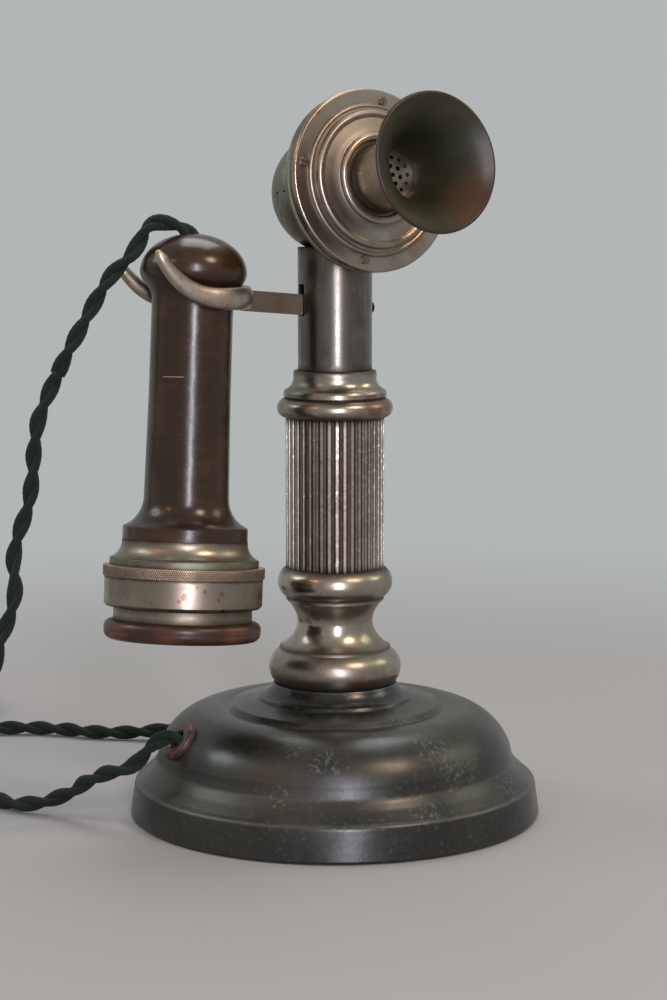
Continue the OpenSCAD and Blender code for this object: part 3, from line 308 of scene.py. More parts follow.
strand_ways = (
    ((0, 0.26, 11.3), (8, 0.45, 10.8), (16, 1, 7.8), (24, 1.5, 4.4), (32, 1.8, 2.4), (40, 2, 1.9)),
    ((0, -0.26, 11.3), (8, -0.1, 11), (16, 0.3, 9.6), (24, 0.75, 6.2), (32, 1.05, 3), (40, 1.15, 1.9)))
tips = []
for number, side_way in enumerate(strand_ways, 1):
    way = evenly([tip_frame @ Vector((x / 1000, y * cord_d, z / 1000)) for x, y, z in side_way])
    strand = braided_strands(f"line_cord_strand_{number}", way, 1, strand_r, 0.0, 1)
    strand.data.materials.append(cotton)
    y = side_way[-1][1] * cord_d
    bpy.ops.mesh.primitive_cylinder_add(vertices=24, radius=sleeve_r, depth=sleeve_l,
        location=(sleeve_x, y, sleeve_r), rotation=(0, math.pi / 2, 0))
    sleeve = bpy.context.object
    bpy.ops.object.mode_set(mode="EDIT")
    for cut in (-0.0022, -0.0012, 0.0008, 0.0018):
        bpy.ops.mesh.select_all(action="SELECT")
        bpy.ops.mesh.bisect(plane_co=(sleeve_x + cut, y, sleeve_r), plane_no=(1, 0, 0))
    pick(sleeve, "verts", lambda v: -0.0013 < v.co.z < 0.0009)
    bpy.ops.transform.resize(value=(1, 1.05, 0.8))
    pick(sleeve, "edges", lambda e: all(abs(abs(v.co.z) - sleeve_l / 2) < 1e-5 for v in e.verts))
    bpy.ops.mesh.bevel(offset=0.00025, segments=2)
    bpy.ops.object.mode_set(mode="OBJECT")
    finish_piece(sleeve, f"line_cord_sleeve_{number}", tip_frame)
    bpy.ops.mesh.primitive_grid_add(x_subdivisions=4, y_subdivisions=3, size=1,
        location=(tongue_x, y, sleeve_r))
    tongue = bpy.context.object
    tongue.scale = (tongue_l, tongue_w, 1)
    bpy.ops.object.mode_set(mode="EDIT")
    pick(tongue, "faces", lambda f: f.calc_center_median().x > 0 and abs(f.calc_center_median().y) < 0.1)
    bpy.ops.mesh.delete(type="FACE")
    bpy.ops.object.mode_set(mode="OBJECT")
    bpy.ops.object.transform_apply(location=False, rotation=False, scale=True)
    plate = tongue.modifiers.new("plate", "SOLIDIFY")
    plate.thickness, plate.offset = tongue_t, 0
    edge = tongue.modifiers.new("edge", "BEVEL")
    edge.width, edge.segments = 0.0002, 2
    finish_piece(tongue, f"line_cord_tongue_{number}", tip_frame)
    tips += [strand, sleeve, tongue]
for piece in tips:
    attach(piece, "stand")
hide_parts("line_cord_tips")


def place_on(material):
    """Where on its piece a point of a material lies."""
    return material.node_tree.nodes["Texture Coordinate"].outputs["Object"]


def patches(place, width, level, blur=0.04, seed=0):
    """A mask of patches about as wide as given, in metres; a higher level leaves fewer."""
    tree = place.id_data
    cloud = add_node(tree, "TexNoise", noise_dimensions="4D",
        inputs={"Vector": place, "W": seed, "Scale": 0.5 / width, "Detail": 3.0, "Roughness": 0.6})
    mask = add_node(tree, "MapRange", {"Value": cloud.outputs[0], "From Min": level - blur,
        "From Max": level + blur})
    return mask.outputs[0]


def weathered(name, metallic, fresh, aged, width, polish, haze, grain, relief, seed=0, own=()):
    """A finish that has aged in patches: two colours, two levels of polish, and a fine relief.

    Width and grain are the sizes of its patches and of its finest marks, in metres. Own gives
    any other sockets of the shader that it sets.
    """
    material = bpy.data.materials.new(name)
    material.use_nodes = True
    tree = material.node_tree
    surface = tree.nodes["Principled BSDF"]
    for socket, value in {"Metallic": metallic, **dict(own)}.items():
        surface.inputs[socket].default_value = value
    place = add_node(tree, "TexCoord").outputs["Object"]
    age = patches(place, width, 0.5, 0.14, seed)
    fine = add_node(tree, "TexNoise", {"Vector": place, "Scale": 0.5 / grain, "Detail": 3.0})
    both = add_node(tree, "Math", {0: fine.outputs[0], 1: 1.1, 2: age}, operation="MULTIPLY_ADD")
    share = add_node(tree, "MapRange", {"Value": both.outputs[0], "From Min": 0.35, "From Max": 1.75})
    colour = add_node(tree, "Mix", {0: share.outputs[0], 6: hex_colour(fresh), 7: hex_colour(aged)},
        data_type="RGBA")
    gloss = add_node(tree, "Mix", {0: share.outputs[0], 2: polish, 3: haze})
    uneven = add_node(tree, "Bump", {"Strength": 1, "Distance": relief, "Height": fine.outputs[0]})
    tree.links.new(colour.outputs[2], surface.inputs["Base Color"])
    tree.links.new(gloss.outputs[0], surface.inputs["Roughness"])
    tree.links.new(uneven.outputs[0], surface.inputs["Normal"])
    return material


def lay_on(material, mask, colour, rough, share=1.0):
    """Another surface on top of a finish where a mask is 1: bare metal, dirt or a bloom.

    The share of it is a number or a second mask.
    """
    tree = material.node_tree
    surface = tree.nodes["Principled BSDF"]
    mask = add_node(tree, "Math", {0: mask, 1: share}, operation="MULTIPLY").outputs[0]
    under = surface.inputs["Base Color"].links[0].from_socket
    gloss = surface.inputs["Roughness"].links[0].from_socket
    hue = add_node(tree, "Mix", {0: mask, 6: under, 7: hex_colour(colour)}, data_type="RGBA")
    haze = add_node(tree, "Mix", {0: mask, 2: gloss, 3: rough})
    tree.links.new(hue.outputs[2], surface.inputs["Base Color"])
    tree.links.new(haze.outputs[0], surface.inputs["Roughness"])


def dress(material, *names):
    """Gives CAD nodes a material."""
    for name in names:
        for slot in nodes[name].material_slots:
            slot.material = material


def fair(material, *names, angle=26, eased=()):
    """Puts in place of turned CAD pieces copies whose facets are faired to smooth surfaces.

    Each eased crease is given by its lowest and highest metre, a step and how often it is rubbed.
    """
    for name in names:
        piece = put_in_scene(f"{name}_faired", nodes[name].data.copy())
        piece.select_set(True)
        bpy.context.view_layer.objects.active = piece
        bpy.ops.object.mode_set(mode="EDIT")
        bpy.ops.mesh.select_all(action="SELECT")
        bpy.ops.mesh.remove_doubles(threshold=0.000002)
        for low, high, step, times in eased:
            for i in range(round((high - low) / step) + 1):
                bpy.ops.mesh.select_all(action="SELECT")
                bpy.ops.mesh.bisect(plane_co=(0, 0, low + i * step), plane_no=(0, 0, 1))
            pick(piece, "verts", lambda vert: low + step / 2 < vert.co.z < high - step / 2)
            bpy.ops.mesh.vertices_smooth(factor=0.5, repeat=times)
        bpy.ops.object.mode_set(mode="OBJECT")
        bpy.ops.mesh.customdata_custom_splitnormals_clear()
        bpy.ops.object.shade_smooth_by_angle(angle=math.radians(angle))
        normals = piece.modifiers.new("even normals", "WEIGHTED_NORMAL")
        normals.keep_sharp = True
        bpy.ops.object.modifier_apply(modifier=normals.name)
        piece.select_set(False)
        piece.data.materials.clear()
        piece.data.materials.append(material)
        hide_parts(name)
        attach(piece,
            next(body for body, held in frame["record"]["behaviour"]["bodies"].items() if name in held))


# Brass that has lain in a drawer: yellow, dulled brown in patches about 6 mm wide, with the
# faint orange-peel of stamped sheet.
brass = weathered("aged brass", 1, "#b99a56", "#7c6234", 0.006, 0.28, 0.5, 0.0008, 0.00002, 1)
for piece in tips:
    if not piece.data.materials:
        piece.data.materials.append(brass)


# ---- Tapes round the cords
# A strip of undyed cotton tape, 5 mm wide, goes once round each coil and holds its turns.
# Plain weave of yarns 0.7 mm apart, greyed with age.
tape_w, tape_t = 0.005, 0.0008
yarn_gap = 0.0007
tape = weathered("undyed cotton tape", 0, "#a19c84", "#77745f", 0.004, 0.85, 0.95, 0.0006, 0.00005, 2)
tree = tape.node_tree
surface = tree.nodes["Principled BSDF"]
surface.inputs["Sheen Weight"].default_value = 0.2
place = place_on(tape)
weave = []
for direction in ("X", "Y", "Z"):
    yarn = add_node(tree, "TexWave", bands_direction=direction,
        inputs={"Vector": place, "Scale": math.pi / 10 / yarn_gap})
    weave.append(yarn.outputs["Fac"])
crossed = add_node(tree, "Math", {0: weave[0], 1: weave[1]}, operation="MULTIPLY")
crossed = add_node(tree, "Math", {0: crossed.outputs[0], 1: weave[2]}, operation="ADD")
yarns_up = add_node(tree, "Bump", {"Strength": 0.8, "Distance": 0.00015, "Height": crossed.outputs[0]})
tree.links.new(yarns_up.outputs[0], surface.inputs["Normal"])

for name, line, centre, step in (("line_cord_tape", line_coil, line_coil_centre, 6),
        ("receiver_cord_tape", ear_coil, ear_coil_centre, 9)):
    held = [math.hypot(p.x - centre[0], p.y - centre[1]) for p in line[step:-1:24]]
    reach = cord_d / 2 + 0.0003
    inner, outer = min(held) - reach - tape_t, max(held) + reach + tape_t
    top = lowest_turn + cord_d + turn_gap + reach + tape_t
    bpy.ops.mesh.primitive_cube_add(size=1, location=((inner + outer) / 2, 0, (0.0002 + top) / 2),
        scale=(outer - inner, tape_w, top - 0.0002))
    band = bpy.context.object
    bpy.ops.object.transform_apply(location=False, rotation=False, scale=True)
    bpy.ops.object.mode_set(mode="EDIT")
    pick(band, "faces", lambda f: abs(f.normal.y) > 0.9)
    bpy.ops.mesh.delete(type="FACE")
    pick(band, "edges", lambda e: abs((e.verts[0].co - e.verts[1].co).y) > 0.004)
    bpy.ops.mesh.bevel(offset=0.0022, segments=6)
    bpy.ops.object.mode_set(mode="OBJECT")
    cloth = band.modifiers.new("cloth", "SOLIDIFY")
    cloth.thickness, cloth.offset = tape_t, -1
    hem = band.modifiers.new("hem", "BEVEL")
    hem.width, hem.segments = 0.00025, 2
    turn = math.atan2(line[step].y - centre[1], line[step].x - centre[0])
    coil_frame = Matrix.Translation((centre[0], centre[1], 0)) @ Matrix.Rotation(turn, 4, "Z")
    finish_piece(band, name, coil_frame)
    band.data.materials.append(tape)
    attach(band, "stand")
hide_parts("cord_ties")


# ---- Base
# Pressed steel bell, japanned: black varnish baked on, gone satin with handling. The varnish
# has bloomed into pale specks, and its edges are rubbed down to dull grey metal.
def marks(place, spots):
    """A mask of ragged marks, each given by its place and radius in millimetres."""
    tree, total = place.id_data, 0.0
    for x, y, z, radius in spots:
        gap = add_node(tree, "VectorMath", {0: place, 1: (x / 1000, y / 1000, z / 1000)},
            operation="DISTANCE")
        near = add_node(tree, "MapRange", {"Value": gap.outputs["Value"], "From Min": radius / 770,
            "From Max": radius / 1800})
        total = add_node(tree, "Math", {0: near.outputs[0], 1: total}, operation="MAXIMUM").outputs[0]
    ragged = add_node(tree, "TexNoise", {"Vector": place, "Scale": 420.0, "Detail": 3.0})
    both = add_node(tree, "Math", {0: total, 1: ragged.outputs[0]}, operation="ADD")
    mask = add_node(tree, "MapRange", {"Value": both.outputs[0], "From Min": 0.92, "From Max": 1.1})
    return mask.outputs[0]


def turned_place(material, frame_of_piece=Matrix()):
    """On a lathe-turned piece: the tree, the place, its height and its distance from the axis."""
    place = place_on(material)
    tree = place.id_data
    own = add_node(tree, "Mapping", {"Vector": place, "Location": frame_of_piece.to_translation(),
        "Rotation": frame_of_piece.to_euler()}, vector_type="TEXTURE")
    flat = add_node(tree, "VectorMath", {0: own.outputs[0], 1: (1, 1, 0)}, operation="MULTIPLY")
    radius = add_node(tree, "VectorMath", {0: flat.outputs[0]}, operation="LENGTH")
    height = add_node(tree, "SeparateXYZ", {0: own.outputs[0]})
    return tree, own.outputs[0], height.outputs[2], radius.outputs["Value"]


def share_along(place, way, stops):
    """A mask that follows a way over a piece: how much there is at each of some millimetres."""
    tree, low, high = place.id_data, stops[0][0], stops[-1][0]
    waver = add_node(tree, "TexNoise", {"Vector": place, "Scale": 250.0, "Detail": 3.0})
    shifted = add_node(tree, "Math", {0: waver.outputs[0], 1: 0.0012, 2: way}, operation="MULTIPLY_ADD")
    along = add_node(tree, "MapRange", {"Value": shifted.outputs[0], "From Min": (low + 0.6) / 1000,
        "From Max": (high + 0.6) / 1000})
    ramp = add_node(tree, "ValToRGB", {0: along.outputs[0]})
    bands = ramp.color_ramp.elements
    bands[0].color, bands[1].color = [(v, v, v, 1) for v in (stops[0][1], stops[-1][1])]
    for at, amount in stops[1:-1]:
        bands.new((at - low) / (high - low)).color = (amount, amount, amount, 1)
    return ramp.outputs["Color"]


japan = weathered("black japanned steel", 0, "#0d0f11", "#171713", 0.024, 0.21, 0.34, 0.0014, 0.00003, 3)
tree, place, height, _ = turned_place(japan)
lay_on(japan, patches(place, 0.03, 0.52, 0.1, 8), "#26231b", 0.46)
lay_on(japan, share_along(place, height, [(0, 0.4), (2, 0), (12.6, 0), (13.4, 0.9), (14.2, 0.1),
    (14.6, 0), (20.6, 0.1), (21.4, 0.55), (22, 0), (40.4, 0), (41.3, 0.45), (42, 0.1), (43.4, 0.5),
    (44.2, 0), (50, 0), (51, 0.6)]), "#55524a", 0.4, 0.4)
specks = patches(place, 0.0008, 0.6, 0.08, 4)
bloomed = marks(place, ((12, -58, 37, 9), (16.5, -63.5, 30, 8), (20.5, -65.5, 23, 7), (9, -53, 40, 5),
    (27, -62, 28, 5), (-30, -56, 33, 6), (-37, -45, 38, 4.5), (8, -40, 43, 5), (2, -73, 16.5, 7),
    (44, -58, 17, 7), (-58, 30, 33, 9), (40, 46, 34, 8), (10, 66, 26, 7), (-46, -52, 22, 5)))
both = add_node(tree, "Math", {0: specks, 1: bloomed}, operation="MULTIPLY")
lay_on(japan, both.outputs[0], "#565c50", 0.65, 0.6)
lay_on(japan, patches(place, 0.0008, 0.65, 0.08, 5), "#4c5146", 0.65, 0.4)
fair(japan, "base_shell", eased=((0.015, 0.0262, 0.0008, 24), (0.012, 0.0144, 0.0004, 4)))


# ---- Bottom of the base
# A zinc-plated steel plate closes the bell, over a pad of green felt that stands on the table
# and is cut out round the plate's three screws.
zinc = weathered("zinc-plated steel", 1, "#8f908c", "#686a66", 0.008, 0.35, 0.55, 0.0012, 0.00002, 4)
lay_on(zinc, patches(place_on(zinc), 0.004, 0.66), "#6b5138", 0.8)
dress(zinc, "base_plate", "base_plate_screws", "hook_pivot_pin", "socket_set_screw")
felt = weathered("green wool felt", 0, "#2c3a2c", "#1f2a20", 0.01, 0.95, 1, 0.0005, 0.0002, 5,
    {"Sheen Weight": 0.3})
dress(felt, "base_pad")


# ---- Cord bushings
# Turned ebonite bushings line the two holes in the bell, so that its edge doesn't cut the
# cords. Brown-black, with a redder rim where the cord has rubbed.
bushing = weathered("turned ebonite bushing", 0, "#3a2820", "#241a15", 0.004, 0.35, 0.55, 0.0008, 0.00003,
    6)
lay_on(bushing, patches(place_on(bushing), 0.003, 0.56), "#5a3225", 0.4)
fair(bushing, "receiver_cord_grommet", "line_cord_grommet")


# ---- Works in the base
# The cords' wires meet under brass screws on a strip of red vulcanised fibre, and a brass nut
# on the stem's foot draws the whole column down on the bell.
fibre = weathered("red vulcanised fibre", 0, "#5c2a1e", "#472018", 0.006, 0.5, 0.7, 0.0006, 0.00004, 7)
dress(fibre, "terminal_block", "contact_insulators", "coil_bobbins")
dress(brass, "terminal_screws", "column_nut")


# ---- Foot, bead and collar of the column
# Turned brass, nickel-plated. The plate has gone a warm grey, is rubbed through to the copper
# under it in places, and holds dirt in pits; the turning leaves it smooth. Dark bands at its
# seams and on the edges of the bead and collar are painted shade and painted dark reflections.
def worn_nickel(name, plate="#b2a99c", dull="#7a7064", bare="#96654c", rubbed=0.66, polish=0.14, haze=0.4,
        seed=0):
    """Old nickel plate: tarnished patches, spots rubbed through to copper, and dark pits."""
    material = weathered(name, 1, plate, dull, 0.014, polish, haze, 0.0018, 0.00003, seed)
    place = place_on(material)
    lay_on(material, patches(place, 0.01, rubbed, 0.03, seed + 3), bare, 0.3)
    lay_on(material, patches(place, 0.0009, 0.7, 0.02, seed + 5), "#2c2620", 0.7)
    return material


column_nickel = worn_nickel("worn nickel plate on turned brass", seed=11)
_, place, height, _ = turned_place(column_nickel)
lay_on(column_nickel, marks(place, ((7, -20, 159, 5), (13.5, -16, 159.5, 4), (-14, -10, 78, 3))),
    "#7d4c3a", 0.32, 0.6)
# Painted shade and painted dark reflections: dark bands at the seams, in the grooves and on the edges of
# the bead and collar.
lay_on(column_nickel, share_along(place, height, [(51, 1), (52, 0.6), (54, 0.1), (63.5, 0), (65.2, 0.75),
    (66, 0.1), (72, 0), (80, 0.35), (83.2, 0.2), (84.4, 0.9), (85.6, 0.3), (88, 0), (93, 0.1),
    (95.6, 0.9), (97, 0.9), (153, 0.9), (154.2, 0.35), (156, 0), (159.6, 0.1), (160.6, 0.9), (161.4, 0.2),
    (163, 0.1), (164, 0.5), (165.5, 0.1), (169, 0.1), (171, 0.8)]), "#3a3129", 0.6)
fair(column_nickel, "column_foot", "lower_bead", "upper_collar")


# ---- Fluted shaft
# A nickelled brass tube with forty flutes. Their ridges are rubbed bright, with pale specks
# that also serve as painted glints, and the hollows are coloured dark brown, so the shaft looks
# darker than the turned pieces round it. Its ends are darkened with painted shade where it meets
# the bead and the collar.
shaft_nickel = worn_nickel("worn nickel plate, fluted", plate="#aca398", dull="#7d7267", rubbed=0.72,
    polish=0.3, haze=0.52, seed=14)
tree, place, height, radius = turned_place(shaft_nickel)
# Pale specks: polished spots that also serve as painted glints on the ridges.
lay_on(shaft_nickel, patches(place, 0.0008, 0.58, 0.05, 2), "#c9c2b8", 0.2, 0.7)
# The flutes' hollows are coloured dark brown.
hollow = add_node(tree, "MapRange", {"Value": radius, "From Min": 0.01845, "From Max": 0.01795})
lay_on(shaft_nickel, hollow.outputs[0], "#332a23", 0.5, 0.9)
# Painted shade: darker at both ends, where the shaft goes into the bead and the collar.
lay_on(shaft_nickel, share_along(place, height, [(95.7, 0.9), (97, 0.4), (99, 0), (150, 0), (152, 0.4),
    (153.3, 0.9)]), "#2a221c", 0.6)
dress(shaft_nickel, "fluted_shaft")


# ---- Stem tube
# Drawn brass tube with dark nickel plate, finely streaked along its length by polishing. The
# switch arm comes out of a slot on its left.
stem_nickel = weathered("dark nickel on drawn tube", 1, "#7f7a73", "#57514b", 0.012, 0.2, 0.36, 0.002,
    0.00002, 17)
tree, place, height, _ = turned_place(stem_nickel)
drawn = add_node(tree, "VectorMath", {0: place, 1: (1, 1, 0.05)}, operation="MULTIPLY")
lay_on(stem_nickel, patches(drawn.outputs[0], 0.0011, 0.55, 0.1, 1), "#5a544e", 0.3, 0.5)
lay_on(stem_nickel, patches(drawn.outputs[0], 0.0007, 0.62, 0.04, 2), "#8b857d", 0.2, 0.4)
# Painted shade: darker at the foot and at the top, where the tube meets the collar and the head.
lay_on(stem_nickel, share_along(place, height, [(171, 1), (172, 0.5), (174, 0), (213, 0), (216, 0.4),
    (217.5, 0.9)]), "#2d2621", 0.6)
dress(stem_nickel, "stem_tube")


# ---- Stem's head
# The turned brass plug in the tube's top carries the tongue that the transmitter tilts on,
# between two brass washers. Its nickel is dull and brown where hands don't reach.
head_nickel = worn_nickel("dull nickel on the stem's head", plate="#8d8577", dull="#5f5549", polish=0.3,
    haze=0.5, seed=19)
dress(head_nickel, "stem_head")
dress(brass, "tilt_washers")


# ---- Switch in the stem
# A brass bracket, held by a blackened screw through the tube, carries the hook's steel pin, a
# brass return spring and three contact leaves between fibre washers.
spring_brass = weathered("hard spring brass", 1, "#c0a45c", "#97793c", 0.005, 0.2, 0.35, 0.0006, 0.00001,
    8)
dress(spring_brass, "hook_spring", "contact_springs")
dress(brass, "switch_bracket")
blackened = weathered("blackened steel", 1, "#211f1e", "#3a322c", 0.003, 0.35, 0.5, 0.0006, 0.00003, 9)
dress(blackened, "bracket_screw")


# ---- Switch hook's arm
# A flat brass arm, nickelled, that comes out of the slot and rises when the receiver is taken
# off. Most of its nickel is gone and the brown brass shows.
arm_nickel = worn_nickel("thin nickel on the arm", plate="#83756b", dull="#605248", bare="#75513f",
    rubbed=0.58, polish=0.22, haze=0.42, seed=21)
dress(arm_nickel, "hook_lever")


# ---- Switch hook's fork
# A forged brass U, oval in section and slimmer towards its round tips, brazed on the arm. The
# receiver hangs between its prongs; their tops are worn pale and speckled with dark pits.
fork_r, fork_reach, fork_level, prong_len = 0.0196, 0.0574, 0.19957, 0.022
climb_from, tip_climb, far_droop, tip_round = 0.0132, 0.018, 0.0055, 0.0026
fork_bend = fork_r * math.pi / 2
fork_half = fork_bend + prong_len
mesh = bpy.data.meshes.new("fork")
bm = bmesh.new()
rings, count, sides = [], 120, 28
middles, sizes = [], []
for i in range(-count, count + 1):
    u = 0.25 * i / count + 0.75 * math.sin(math.pi / 2 * i / count)
    s = abs(u) * fork_half
    a = min(s / fork_r, math.pi / 2)
    out = max(s - fork_bend, 0)
    x = fork_reach - fork_r * math.cos(a) + out
    climb = max((x - fork_reach + climb_from) / (prong_len + climb_from), 0) ** 3.4
    side = fork_r * math.sin(a) + 0.0008 * (out / prong_len) ** 2
    droop = far_droop * (s / fork_half) ** 2 if u > 0 else 0
    middles.append(Vector((-x, math.copysign(side, u), fork_level + tip_climb * climb - droop)))
    tip = max((s - fork_half + tip_round) / tip_round, 0)
    close = math.sqrt(1 - 0.985 * tip * tip)
    sizes.append((0.0025 * (1 - 0.12 * (s / fork_half) ** 2) * close,
        0.00435 * (1 - 0.55 * (s / fork_half) ** 2.8) * close))
for i, (p, (wide, high)) in enumerate(zip(middles, sizes)):
    t = (middles[min(i + 1, 2 * count)] - middles[max(i - 1, 0)]).normalized()
    across = t.cross(Vector((0.02, 0.01, 1))).normalized()
    up = across.cross(t)
    ring = []
    for k in range(sides):
        a = 2 * math.pi * k / sides
        ring.append(bm.verts.new(p + wide * math.cos(a) * across + high * math.sin(a) * up))
    rings.append(ring)
for low, high in zip(rings, rings[1:]):
    for k in range(sides):
        bm.faces.new((low[k], low[(k + 1) % sides], high[(k + 1) % sides], high[k])).smooth = True
bm.faces.new(list(reversed(rings[0])))
bm.faces.new(rings[-1])
bmesh.ops.recalc_face_normals(bm, faces=bm.faces)
bm.to_mesh(mesh)
bm.free()
fork = put_in_scene("fork", mesh)
fork_nickel = worn_nickel("worn nickel on the fork", plate="#c2b7ac", dull="#978a7d", bare="#8b6553",
    rubbed=0.7, polish=0.3, haze=0.46, seed=23)
lay_on(fork_nickel, patches(place_on(fork_nickel), 0.001, 0.61, 0.05, 6), "#5f5248", 0.55, 0.7)
fork.data.materials.append(fork_nickel)
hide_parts("hook_fork")
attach(fork, "switch_hook")


# ---- Transmitter's ball and cup
# A spun brass shell: a ball that rocks on the stem, opening into a cup. Its nickel is tarnished
# greenish grey above and brown below, freckled with dark spots, and almost matt.
head_frame = (Matrix.Translation((-0.0002559, 0.0020843, 0.2380244)) @ Euler((0, math.radians(81.5),
    math.radians(-83))).to_matrix().to_4x4())
cup_nickel = weathered("tarnished nickel on spun brass", 1, "#7b7b70", "#656156", 0.012, 0.34, 0.52,
    0.0016, 0.00006, 25)
tree, place, depth, _ = turned_place(cup_nickel, head_frame)
low_side = add_node(tree, "SeparateXYZ", {0: place})
below = add_node(tree, "MapRange", {"Value": low_side.outputs[0], "From Min": 0.002, "From Max": 0.02})
lay_on(cup_nickel, below.outputs[0], "#775f4f", 0.45, patches(place, 0.009, 0.45, 0.15))
lay_on(cup_nickel, patches(place, 0.001, 0.62, 0.05, 3), "#4a4840", 0.6, 0.7)
lay_on(cup_nickel, share_along(place, depth, [(16, 0), (22, 0.1), (24.6, 0.7), (25.4, 0.2), (27.6, 0.4),
    (28.3, 0.9)]), "#606657", 0.6)
fair(cup_nickel, "transmitter_cup")
dress(cup_nickel, "tilt_screw", "tilt_nut")


# ---- Transmitter's face plate
# Turned brass plate with a screwed rim, two raised rings, a dish and a ring at the neck. Bright
# where hands rub the rings, copper-red low down, and dark with polish left round the neck. The
# grooves between the rings are darkened with painted shade.
face_nickel = worn_nickel("worn nickel on the face plate", plate="#aea59a", dull="#867b6f",
    bare="#8a6350", rubbed=0.7, polish=0.22, haze=0.36, seed=29)
_, place, _, radius = turned_place(face_nickel, head_frame)
lay_on(face_nickel, marks(place, ((21, 7, 31, 5), (17, 10, 31, 4), (24, 16, 29, 5), (-20, -16, 31, 3))),
    "#7d4d36", 0.3, 0.25)
rubbed = share_along(place, radius, [(15, 0), (15.4, 0.5), (16.2, 0), (22.6, 0), (23.4, 0.55), (24.2, 0),
    (26, 0), (26.8, 0.5), (27.6, 0), (33, 0), (33.8, 0.6)])
lay_on(face_nickel, rubbed, "#9c6a50", 0.25, patches(place, 0.012, 0.5, 0.12, 5))
# Darker round the neck, where polish is left, and painted shade in the grooves between the rings.
lay_on(face_nickel, share_along(place, radius, [(12, 1), (12.9, 0.95), (13.8, 0.5), (14.6, 0),
    (16.8, 0.25), (17.3, 0.6), (18, 0.3), (20, 0), (22.5, 0.1), (23, 0.55), (23.5, 0.1), (25.3, 0.2),
    (25.7, 0.65), (26.2, 0.1), (28, 0.35), (28.6, 0.2), (30, 0)]), "#3f3629", 0.6)
fair(face_nickel, "transmitter_face")
screw_nickel = worn_nickel("worn nickel on the face screws", plate="#877a6c", dull="#4d443b", polish=0.3,
    haze=0.5, seed=31)
dress(screw_nickel, "face_screws")


# ---- Mouthpiece's neck
# Drawn brass tube soldered in the face plate, with a set screw that grips the horn's stub. Its
# nickel is dull, and darkened with painted shade at the foot, by the face plate, and towards the horn.
neck_nickel = worn_nickel("dull nickel on the neck", plate="#b6ac9e", dull="#8c8173", rubbed=0.7,
    polish=0.22, haze=0.42, seed=33)
_, place, depth, _ = turned_place(neck_nickel, head_frame)
# Painted shade: darker at the foot of the neck and at its end under the horn.
lay_on(neck_nickel, share_along(place, depth, [(31, 0.8), (33.4, 0.3), (35.5, 0), (47, 0), (49.8, 0.2),
    (51.2, 0.8)]), "#4a4136", 0.5)
dress(neck_nickel, "mouthpiece_socket")


# ---- Mouthpiece
# A horn turned from hard rubber, sulphur-bloomed to dark olive inside and browner outside and
# on the lip, where it is handled. A reddish patch low on the right inside is a painted sheen, a
# little smoother than the rest.
horn = weathered("bloomed hard rubber", 0, "#3a251a", "#291b13", 0.012, 0.3, 0.46, 0.0012, 0.00004, 35,
    {"Specular IOR Level": 0.26})
tree, place, _, radius = turned_place(horn, head_frame)
facing = add_node(tree, "VectorMath", {0: tree.nodes["Texture Coordinate"].outputs["Normal"],
    1: head_frame.to_3x3() @ Vector((0, 0, 1))}, operation="DOT_PRODUCT")
inside = add_node(tree, "MapRange", {"Value": facing.outputs["Value"], "From Min": -0.05,
    "From Max": 0.2})
lay_on(horn, inside.outputs[0], "#222217", 0.36)
lay_on(horn, inside.outputs[0], "#2b2a1c", 0.4, patches(place, 0.006, 0.5, 0.1, 2))
# A painted reddish sheen low on the right inside the horn, fading out from its middle.
to_sheen_spot = add_node(tree, "VectorMath", {0: place, 1: (0.014, 0.017, 0.069)}, operation="DISTANCE")
painted_sheen = add_node(tree, "MapRange", interpolation_type="SMOOTHSTEP",
    inputs={"Value": to_sheen_spot.outputs["Value"], "From Min": 0.02, "From Max": 0.003})
lay_on(horn, inside.outputs[0], "#3b2517", 0.3, painted_sheen.outputs[0])
lay_on(horn, share_along(place, radius, [(22, 0), (24.2, 0.2), (25, 0.8), (26, 0.8)]), "#33221a", 0.28)
fair(horn, "mouthpiece")

# The grille is a pierced brass disc in the horn's throat, nickelled and grey with breath.
grille_nickel = worn_nickel("pierced nickelled grille", plate="#a59b8b", dull="#7d7466", polish=0.22,
    haze=0.4, seed=37)
dress(grille_nickel, "mouthpiece_grille")


# ---- Works of the transmitter
# An aluminium diaphragm on a rubber ring works a brass carbon button, which a brass bridge
# holds across the cup with two screws.
aluminium = weathered("rolled aluminium", 1, "#b9bab9", "#9c9d9c", 0.006, 0.3, 0.42, 0.0008, 0.00001, 39)
dress(aluminium, "transmitter_diaphragm")
gasket = weathered("black rubber ring", 0, "#1d1c1a", "#2a2826", 0.004, 0.6, 0.8, 0.0006, 0.00003, 40)
dress(gasket, "diaphragm_gasket")
dress(brass, "carbon_button", "button_bridge", "bridge_screws")


# ---- Receiver's handle
# Turned from hard rubber, faded from black to chocolate brown and redder where hands hold it,
# with a soft polish. A short pale scratch crosses the grip.
receiver_frame = (Matrix.Translation((-0.06738, -0.010835, 0.074325)) @ Euler((math.radians(-4.6),
    math.radians(4.25), 0)).to_matrix().to_4x4())
ebonite = weathered("faded hard rubber", 0, "#2c1b0d", "#211408", 0.016, 0.18, 0.28, 0.0014, 0.00003,
    41, {"Specular IOR Level": 0.4})
tree, place, height, _ = turned_place(ebonite, receiver_frame)
lay_on(ebonite, patches(place, 0.009, 0.6, 0.08, 4), "#3a2412", 0.22)
lay_on(ebonite, patches(place, 0.0012, 0.66, 0.04, 6), "#1d120d", 0.5)
turned_rings = add_node(tree, "VectorMath", {0: place, 1: (0.12, 0.12, 1)}, operation="MULTIPLY")
lay_on(ebonite, patches(turned_rings.outputs[0], 0.0007, 0.6, 0.06, 7), "#33200f", 0.3, 0.5)
